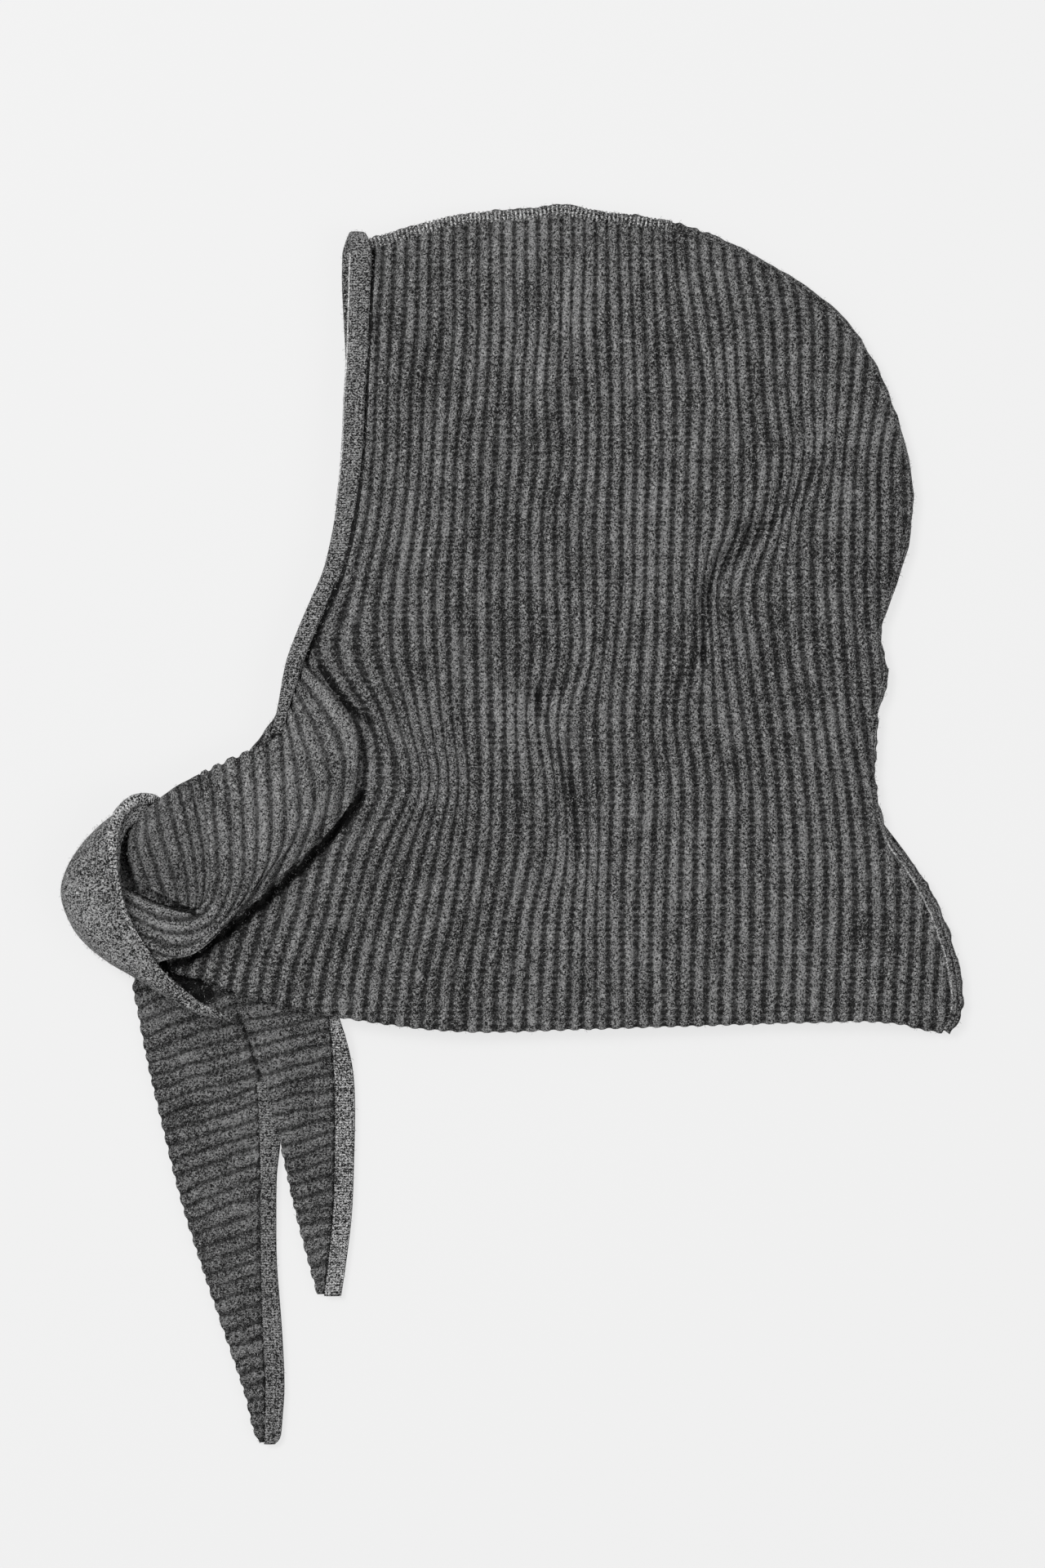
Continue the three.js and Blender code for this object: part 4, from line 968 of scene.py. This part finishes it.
class Machine:
    """A geometry tree with named inputs: name -> (socket type, value)."""

    def __init__(self, name, sizes):
        self.tree = bpy.data.node_groups.new(name, "GeometryNodeTree")
        face = self.tree.interface
        face.new_socket("Geometry", in_out="INPUT", socket_type="NodeSocketGeometry")
        for size, (kind, value) in sizes.items():
            face.new_socket(size, in_out="INPUT", socket_type=kind).default_value = value
        face.new_socket("Geometry", in_out="OUTPUT", socket_type="NodeSocketGeometry")
        self.given = self.add("NodeGroupInput").outputs

    def add(self, kind, inputs=None, **settings):
        return add_node(self.tree, kind, inputs, **settings)

    def times(self, size, factor):
        return self.add("ShaderNodeMath", {0: self.given[size], 1: factor}, operation="MULTIPLY")

    def corner(self, x=0.0, z=0.0):
        return self.add("ShaderNodeCombineXYZ", {0: x, 2: z})

    def yarn(self, path, sides, radius):
        circle = {"Resolution": sides, "Radius": self.given[radius]}
        section = self.add("GeometryNodeCurvePrimitiveCircle", circle)
        return self.add("GeometryNodeCurveToMesh", {0: path, 1: section, "Fill Caps": True})

    def close(self, material, copies):
        placed = self.add("GeometryNodeInstanceOnPoints", copies)
        real = self.add("GeometryNodeRealizeInstances", {0: placed})
        coated = self.add("GeometryNodeSetMaterial", {0: real, 2: material})
        self.add("NodeGroupOutput", {0: coated})
        return self.tree


def run_nodes(source, tree, name, sizes):
    """Runs a tree on a source object and keeps the result as a plain mesh."""
    modifier = source.modifiers.new("machine", "NODES")
    modifier.node_group = tree
    for item in tree.interface.items_tree:
        if item.in_out == "INPUT" and item.name in sizes:
            modifier[item.identifier] = sizes[item.name]
    evaluated = source.evaluated_get(bpy.context.evaluated_depsgraph_get())
    mesh = bpy.data.meshes.new_from_object(evaluated)
    source.modifiers.remove(modifier)
    place = np.zeros(len(mesh.vertices) * 3)
    mesh.vertices.foreach_get("co", place)
    set_knit(mesh, place.reshape(-1, 3)[:, :2] / MM / COURSE)
    return link(name, mesh)


# %% [markdown]
# ## Shader maths that reads like maths
#
# A wool's pattern is arithmetic: how far from a furrow, how far from a course. `Wire` wraps a
# socket so that such a sum can be written as one line of Python, and `Finish` is one material
# in the making. Colours go through Mix nodes, because a Math node would turn them grey.


# %% The class for shader maths
class Wire:
    def __init__(self, finish, socket):
        self.finish, self.socket = finish, socket

    def other(self, name):
        return Wire(self.finish, self.socket.node.outputs[name])

    def math(self, operation, *values):
        return self.finish.add("ShaderNodeMath", dict(enumerate(values)), operation=operation)

    def __add__(self, value):
        return self.math("ADD", self, value)

    def __sub__(self, value):
        return self.math("SUBTRACT", self, value)

    def __rsub__(self, value):
        return self.math("SUBTRACT", value, self)

    def __mul__(self, value):
        return self.math("MULTIPLY", self, value)

    __radd__, __rmul__ = __add__, __mul__

    def away_from_whole(self):
        """0 at each whole number, 0.5 half way between."""
        return self.math("PINGPONG", self, 0.5)

    def step(self, low, high):
        """A smooth step from 0 at low to 1 at high."""
        edges = {0: self, 1: low, 2: high}
        return self.finish.add("ShaderNodeMapRange", edges, interpolation_type="SMOOTHSTEP")


class Finish:
    def __init__(self, name):
        self.material = bpy.data.materials.new(name)
        self.material.use_nodes = True
        self.tree = self.material.node_tree
        self.tree.nodes.clear()

    def add(self, kind, inputs=None, **settings):
        plain = {k: v.socket if isinstance(v, Wire) else v for k, v in (inputs or {}).items()}
        return Wire(self, add_node(self.tree, kind, plain, **settings).outputs[0])

    def where(self):
        return self.add("ShaderNodeTexCoord").other("Object")

    def knit(self):
        """The rib number, whose other("Y") is the course."""
        return self.add("ShaderNodeSeparateXYZ", {0: self.add("ShaderNodeUVMap", uv_map="knit")})

    def noise(self, where, scale, detail=2.0, rough=0.5, swirl=0.0):
        values = {"Vector": where, "Scale": scale, "Detail": detail}
        values.update({"Roughness": rough, "Distortion": swirl})
        return self.add("ShaderNodeTexNoise", values, noise_dimensions="3D")

    def blend(self, share, first, second):
        mix = self.add("ShaderNodeMix", {0: share, 6: first, 7: second}, data_type="RGBA")
        return Wire(self, mix.socket.node.outputs[2])

    def close(self, colour, height, depth, roughness, sheen):
        bump = {"Height": height, "Distance": depth, "Strength": 1.0}
        surface = {
            "Base Color": colour,
            "Normal": self.add("ShaderNodeBump", bump),
            "Roughness": roughness,
            "Specular IOR Level": 0.05,
            "Sheen Weight": sheen,
            "Sheen Roughness": 0.45,
            "Sheen Tint": (1.0, 1.0, 1.0, 1.0),
        }
        return self.end(surface)

    def end(self, surface):
        shader = self.add("ShaderNodeBsdfPrincipled", surface)
        add_node(self.tree, "ShaderNodeOutputMaterial", {"Surface": shader.socket})
        return self.material


def grey(value):
    return (value, value, value, 1.0)


# %% [markdown]
# ## The grey wool
#
# The yarn is spun from pale and nearly black fibres, so close up it is a speckle and from afar
# an uneven grey. Three things are layered: the speckle, a slow mottling, and the knit itself.
# Its furrows are painted dark, with a ladder of small darker holes, one for each course: this is
# painted shade, deeper than the shade the furrows' relief casts. Where the furrow attribute is
# large, along the creases, the painted shade goes to black. The crest carries rows of stitches
# as bump, because their relief is finer than the mesh.


# %% The wool finishes
def wool_speckle(f, where, strength=1.0):
    """Pale and dark fibres: curls, strands, flecks and two slow mottlings, -0.5 to 0.5 each."""
    curl = (7.0 * f.noise(where, 420.0, 1.0, 0.5, 1.0)).away_from_whole().step(0.05, 0.42) - 0.5
    strand = f.noise(where, 850.0, 1.0, 0.5, 1.0).step(0.36, 0.64) - 0.5
    fleck = f.noise(where, 1400.0, 1.0, 0.5, 0.5).step(0.36, 0.64) - 0.5
    mottle = f.noise(where, 75.0, 3.0, 0.6).step(0.32, 0.68) - 0.5
    cloud = f.noise(where, 22.0, 2.0, 0.6).step(0.3, 0.7) - 0.5
    grain = strength * (0.25 * curl + 0.74 * strand + 1.05 * fleck)
    return 0.43 + grain + 0.26 * mottle + 0.3 * cloud, 0.4 * curl + 0.8 * strand + 0.3 * fleck


def ribbed_wool(name, dark=0.008, pale=0.35, furrow_shade=1.0, bead=0.7):
    f = Finish(name)
    where, knit = f.where(), f.knit()
    half = f.add("ShaderNodeAttribute", attribute_name="furrow_and_shade").other("Fac")
    wander = f.noise(where, 420.0, 2.0, 0.6) - 0.5
    drift = f.noise(where, 130.0, 2.0, 0.6) - 0.5
    course = knit.other("Y") + 0.9 * wander + 0.8 * drift
    away = (knit + 0.28 * wander).away_from_whole()
    hole = bead * (1 - course.away_from_whole().step(0.1, 0.36)) * (drift + 0.5).step(0.3, 0.55)
    inside = 1 - (away - half * (0.8 + 0.55 * hole)).step(-0.08, 0.06)
    streak_at = f.add("ShaderNodeCombineXYZ", {0: knit * 0.8, 1: knit.other("Y") * 0.1})
    streak = f.noise(streak_at, 1.0, 2.0, 0.6).step(0.3, 0.7) - 0.5
    stitch = (course + 1.1 * away).away_from_whole().step(0.02, 0.25)
    speckle, grain = wool_speckle(f, where)
    yarn = f.blend(speckle + 0.35 * streak + 0.06 * stitch, grey(dark), grey(pale))
    # Painted shade: the furrows and their holes darken toward black, and the painted crease
    # shadows turn black.
    shade = furrow_shade * inside * (0.74 + 0.26 * hole) + half.step(0.3, 0.7)
    colour = f.blend(shade, yarn, grey(0.002))
    height = 0.3 * stitch + grain - 1.0 * inside * hole
    return f.close(colour, height, 0.0012, 0.92, 0.045)


def fine_wool(name, pale=0.42, strength=1.35, courses=0.85, dark=0.005, rows=0.3, weave=0.8):
    f = Finish(name)
    where, knit = f.where(), f.knit()
    wander = f.noise(where, 420.0, 2.0) - 0.5
    wale = (knit * 0.7 + 0.3 * wander).away_from_whole()
    course = (knit.other("Y") * courses + 0.9 * wander + 0.5 * wale).away_from_whole()
    speckle, grain = wool_speckle(f, where, strength)
    yarn = f.blend(speckle + rows * (course.step(0.08, 0.4) - 0.5), grey(dark), grey(pale))
    gap = weave * (1 - wale.step(0.0, 0.3)) * (1 - course.step(0.1, 0.35))
    height = 2 * rows * course.step(0.0, 0.4) + 0.3 * wale.step(0.0, 0.4) + grain
    return f.close(f.blend(gap, yarn, grey(0.003)), height, 0.0010, 0.92, 0.06)


# Pale and dark fibres like the yarn's, paler overall than the knit: partly the yarn's own pale
# fibres, partly a painted highlight where they catch the light.
def loose_fibre(name, tone):
    f = Finish(name)
    share = f.noise(f.where(), 300.0, 1.0).step(0.35, 0.65)
    return f.close(f.blend(share, grey(tone * 0.3), grey(tone)), share, 0.0001, 0.8, 0.2)


wool = ribbed_wool("ribbed_wool")
tie_wool = ribbed_wool("tie_wool", pale=0.37, furrow_shade=0.9, bead=0.4)
# Painted shade: the tie's wool, painted darker on the flap.
flap_wool_painted_shade = ribbed_wool("flap_wool_painted_shade", pale=0.28, furrow_shade=0.9, bead=0.4)
end_wool = ribbed_wool("end_wool", pale=0.265, furrow_shade=0.85, bead=0.6)
# Painted shade: the sides' wool painted a little darker on the rolled seam edge, where it rolls
# away from the light.
seam_wool_painted_shade = ribbed_wool("seam_wool_painted_shade", pale=0.30, furrow_shade=0.9, bead=0.3)
jersey = fine_wool("band_jersey", 0.40, 1.6)
# One fine band in three tones: painted shade on the long end's band, which lies low under the
# short end, and painted light on the loop's curled rim and the short end's band, which lie up in
# the light.
jersey_painted_shade = fine_wool("jersey_painted_shade", 0.36, 1.4)
jersey_painted_light = fine_wool("jersey_painted_light", 0.62, 1.2)
loop_wool = fine_wool("loop_wool", 0.39, 1.4, 1.0, rows=0.0, weave=0.0)
# Painted highlight: the seam's stitches, the same yarn painted pale.
stitch_painted_highlight = fine_wool("stitch_painted_highlight", 0.7, courses=1.0, dark=0.03, weave=0.0)
# Painted highlights: the face band's free edge and the nape ridge, far paler than the wool.
edge_painted_highlight = fine_wool("edge_painted_highlight", 0.9, courses=1.0, dark=0.35, weave=0.0)
ridge_painted_highlight = fine_wool("ridge_painted_highlight", 0.75, courses=1.0, dark=0.1, weave=0.0)
fibre_wool = loose_fibre("loose_fibre", 0.45)

# %% [markdown]
# ## Seam stitches
#
# Each stitch is a short loop of the same yarn laid over the rolled edge, about 2 mm from the
# next: a bent segment with a round section. It is painted much paler than the wool, a painted
# highlight where the stitches stand up into the light. They are sewn only over the crown, where
# the seam lies open to the eye.

# %% Sew the seam
def seam_machine():
    sizes = {
        "Step": ("NodeSocketFloat", 0.0015),
        "Reach": ("NodeSocketFloat", 0.0016),
        "Yarn radius": ("NodeSocketFloat", 0.0006),
        "Lift": ("NodeSocketFloat", 0.003),
    }
    m = Machine("seam stitches", sizes)
    walk = m.add(
        "GeometryNodeCurveToPoints",
        {"Curve": m.given["Geometry"], "Length": m.given["Step"]},
        mode="LENGTH",
    )
    behind, ahead, lift = m.times("Reach", -1.0), m.given["Reach"], m.given["Lift"]
    bend = {
        "Resolution": 7,
        "Start": m.corner(behind),
        "Start Handle": m.corner(behind, lift),
        "End Handle": m.corner(ahead, lift),
        "End": m.corner(ahead),
    }
    loop = m.yarn(m.add("GeometryNodeCurvePrimitiveBezierSegment", bend), 6, "Yarn radius")
    way = {"Vector": walk.outputs["Tangent"]}
    turn = m.add("FunctionNodeAlignRotationToVector", way, axis="Y", pivot_axis="Z")
    copies = {"Points": walk.outputs["Points"], "Instance": loop, "Rotation": turn}
    return m.close(stitch_painted_highlight, copies)


def path_object(name, points):
    curve = bpy.data.curves.new(name, "CURVE")
    curve.dimensions = "3D"
    spline = curve.splines.new("POLY")
    spline.points.add(len(points) - 1)
    spline.points.foreach_set("co", np.column_stack([points * MM, np.ones(len(points))]).ravel())
    return link(name, curve)


SEWN_FROM = 375  # the place on the seam's path where the stitches begin
over_edge = np.column_stack([seam_path, seam_level + 0.1])[SEWN_FROM:]
guide = path_object("seam_guide", over_edge)
stitch_sizes = {"Step": 0.0019, "Reach": 0.0024}
stitches = run_nodes(guide, seam_machine(), "centre_seam_stitches", stitch_sizes)
bpy.data.objects.remove(guide)

# %% [markdown]
# ## Which piece stands for which solid
#
# Each row names a piece, the plain solid that it stands for, and its wool.

# %% List the pieces
PIECES = [
    (left_side, "left_side", wool),
    (right_side, "right_side", wool),
    (left_tie, "left_tie", tie_wool),
    (flap, "left_tie", flap_wool_painted_shade),
    (right_tie, "right_tie", tie_wool),
    (knot_loop, "knot_wrap", loop_wool),
    (loop_rim, "knot_wrap", jersey_painted_light),
    (face_band, "face_band", jersey),
    (band_edge, "face_band", edge_painted_highlight),
    (long_end, "long_tie_end", end_wool),
    (long_band, "long_end_band", jersey_painted_shade),
    (short_end, "short_tie_end", end_wool),
    (short_band, "short_end_band", jersey_painted_light),
    (centre_seam, "centre_seam", seam_wool_painted_shade),
    (nape_ridge, "centre_seam", ridge_painted_highlight),
]
node_of = {piece.name: node for piece, node, _ in PIECES}
for piece, node, _ in PIECES:
    area = sum(p.area for p in piece.data.polygons) / 2
    print(piece.name, "for", node, "- cloth", round(area * 1e4), "cm2")

# %% [markdown]
# ## Loose fibres
#
# Wool is hairy: short fibres stand off every surface, blur the outline and catch the light.
# A second machine scatters points over a piece and sets a bent hair on each, turned and
# sized at random from a fixed seed. The hairs have three sides, as nobody sees more.


# %% Grow the fibres
def fibre_machine():
    sizes = {
        "Density": ("NodeSocketFloat", 60000.0),
        "Length": ("NodeSocketFloat", 0.0028),
        "Radius": ("NodeSocketFloat", 0.00008),
        "Seed": ("NodeSocketInt", 1),
    }
    m = Machine("loose fibres", sizes)
    seed = {"Seed": m.given["Seed"]}
    up = m.add("ShaderNodeSeparateXYZ", {0: m.add("GeometryNodeInputNormal")}).outputs[2]
    seen = m.add(
        "FunctionNodeCompare", {0: up, 1: -0.4}, data_type="FLOAT", operation="GREATER_THAN"
    )
    where = {"Mesh": m.given["Geometry"], "Selection": seen, "Density": m.given["Density"]}
    scatter = m.add(
        "GeometryNodeDistributePointsOnFaces", {**where, **seed}, distribute_method="RANDOM"
    )
    half = m.times("Length", 0.5)
    bend = {
        "Resolution": 2,
        "Start": (0.0, 0.0, 0.0),
        "Middle": m.corner(z=half),
        "End": m.corner(half, m.times("Length", 0.3)),
    }
    strand = m.yarn(m.add("GeometryNodeCurveQuadraticBezier", bend), 3, "Radius")
    turns = {0: (-0.9, -0.9, 0.0), 1: (0.9, 0.9, 6.283), **seed}
    spin = m.add("FunctionNodeRandomValue", turns, data_type="FLOAT_VECTOR")
    size = m.add("FunctionNodeRandomValue", {2: 0.4, 3: 1.0, **seed}, data_type="FLOAT")
    both = {0: scatter.outputs["Rotation"], 1: spin}
    copies = {
        "Points": scatter.outputs["Points"],
        "Instance": strand,
        "Rotation": m.add("FunctionNodeRotateRotation", both, rotation_space="LOCAL"),
        "Scale": size.outputs[1],
    }
    return m.close(fibre_wool, copies)


fuzz = fibre_machine()
HAIRY = [left_side, right_side, left_tie, flap, knot_loop, loop_rim]  # in the order of seeds
HAIRY += [long_end, short_end, long_band, short_band, centre_seam, face_band]
HAIRS = 115000.0  # to a square metre
FEWER_OR_MORE = {"right_side_knit": 12000.0, "centre_seam_edge": 200000.0}
fibres = []
for seed, piece in enumerate(HAIRY, 1):
    fibre_sizes = {"Density": FEWER_OR_MORE.get(piece.name, HAIRS), "Seed": seed}
    hairs = run_nodes(piece, fuzz, piece.name + "_fuzz", fibre_sizes)
    fibres.append((hairs, node_of[piece.name]))

# %% [markdown]
# ## Give each piece its wool
#
# Every piece rides on the one body, stands for its plain solid, which it hides, and takes its
# wool.

# %% Stage and materials
for piece, node, finish in PIECES:
    piece.data.materials.append(finish)
    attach(piece, "root")
    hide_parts(node)
    "wool_" + node
for hairs, node in fibres + [(stitches, "centre_seam")]:
    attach(hairs, "root")
    "wool_" + node

bpy.ops.mesh.primitive_plane_add(size=6, location=(0, 0, -0.0005))
table = bpy.context.object
table.name = "table"

# %% [markdown]
# ## Table, light and camera
#
# The table is a plain pale sheet. A wide lamp above and a bright surround give soft light
# that still leaves the furrows dark. The camera looks straight down through a long lens, so
# that heights hardly shift anything sideways.

# %% Light it and look at it
scene = bpy.context.scene
scene.view_settings.view_transform = "Standard"
paint = {
    "Base Color": grey(0.08),
    "Roughness": 0.9,
    "Emission Color": grey(1.0),
    "Emission Strength": 0.73,
}
table.data.materials.append(Finish("pale_table").end(paint))

scene.world = bpy.data.worlds.new("studio")
scene.world.use_nodes = True
surround = scene.world.node_tree.nodes["Background"].inputs
surround["Color"].default_value = grey(1.0)
surround["Strength"].default_value = 0.5


def soft_lamp(name, place, watts, size):
    lamp = bpy.data.lights.new(name, "AREA")
    lamp.energy, lamp.size = watts, size
    thing = link(name, lamp)
    thing.location = place
    thing.rotation_euler = (-Vector(place)).to_track_quat("-Z", "Y").to_euler()


soft_lamp("main_lamp", (-1.05, 0.85, 2.5), 86, 1.1)
soft_lamp("fill_lamp", (1.4, -0.5, 1.8), 13, 1.4)

LENS, FILM, FRAME_HEIGHT = 100.0, 36.0, 729.6
VIEW_X, VIEW_Y, VIEW_LEVEL = 4.9, 19.5, 10  # the middle of what the picture shows
view = bpy.data.cameras.new("camera")
view.lens, view.sensor_width, view.clip_end = LENS, FILM, 20
camera = link("camera", view)
height = FRAME_HEIGHT * LENS / FILM + VIEW_LEVEL
camera.location = (VIEW_X * MM, VIEW_Y * MM, height * MM)
scene.camera = camera
print("the camera stands", round(camera.location.z, 2), "m over the table")
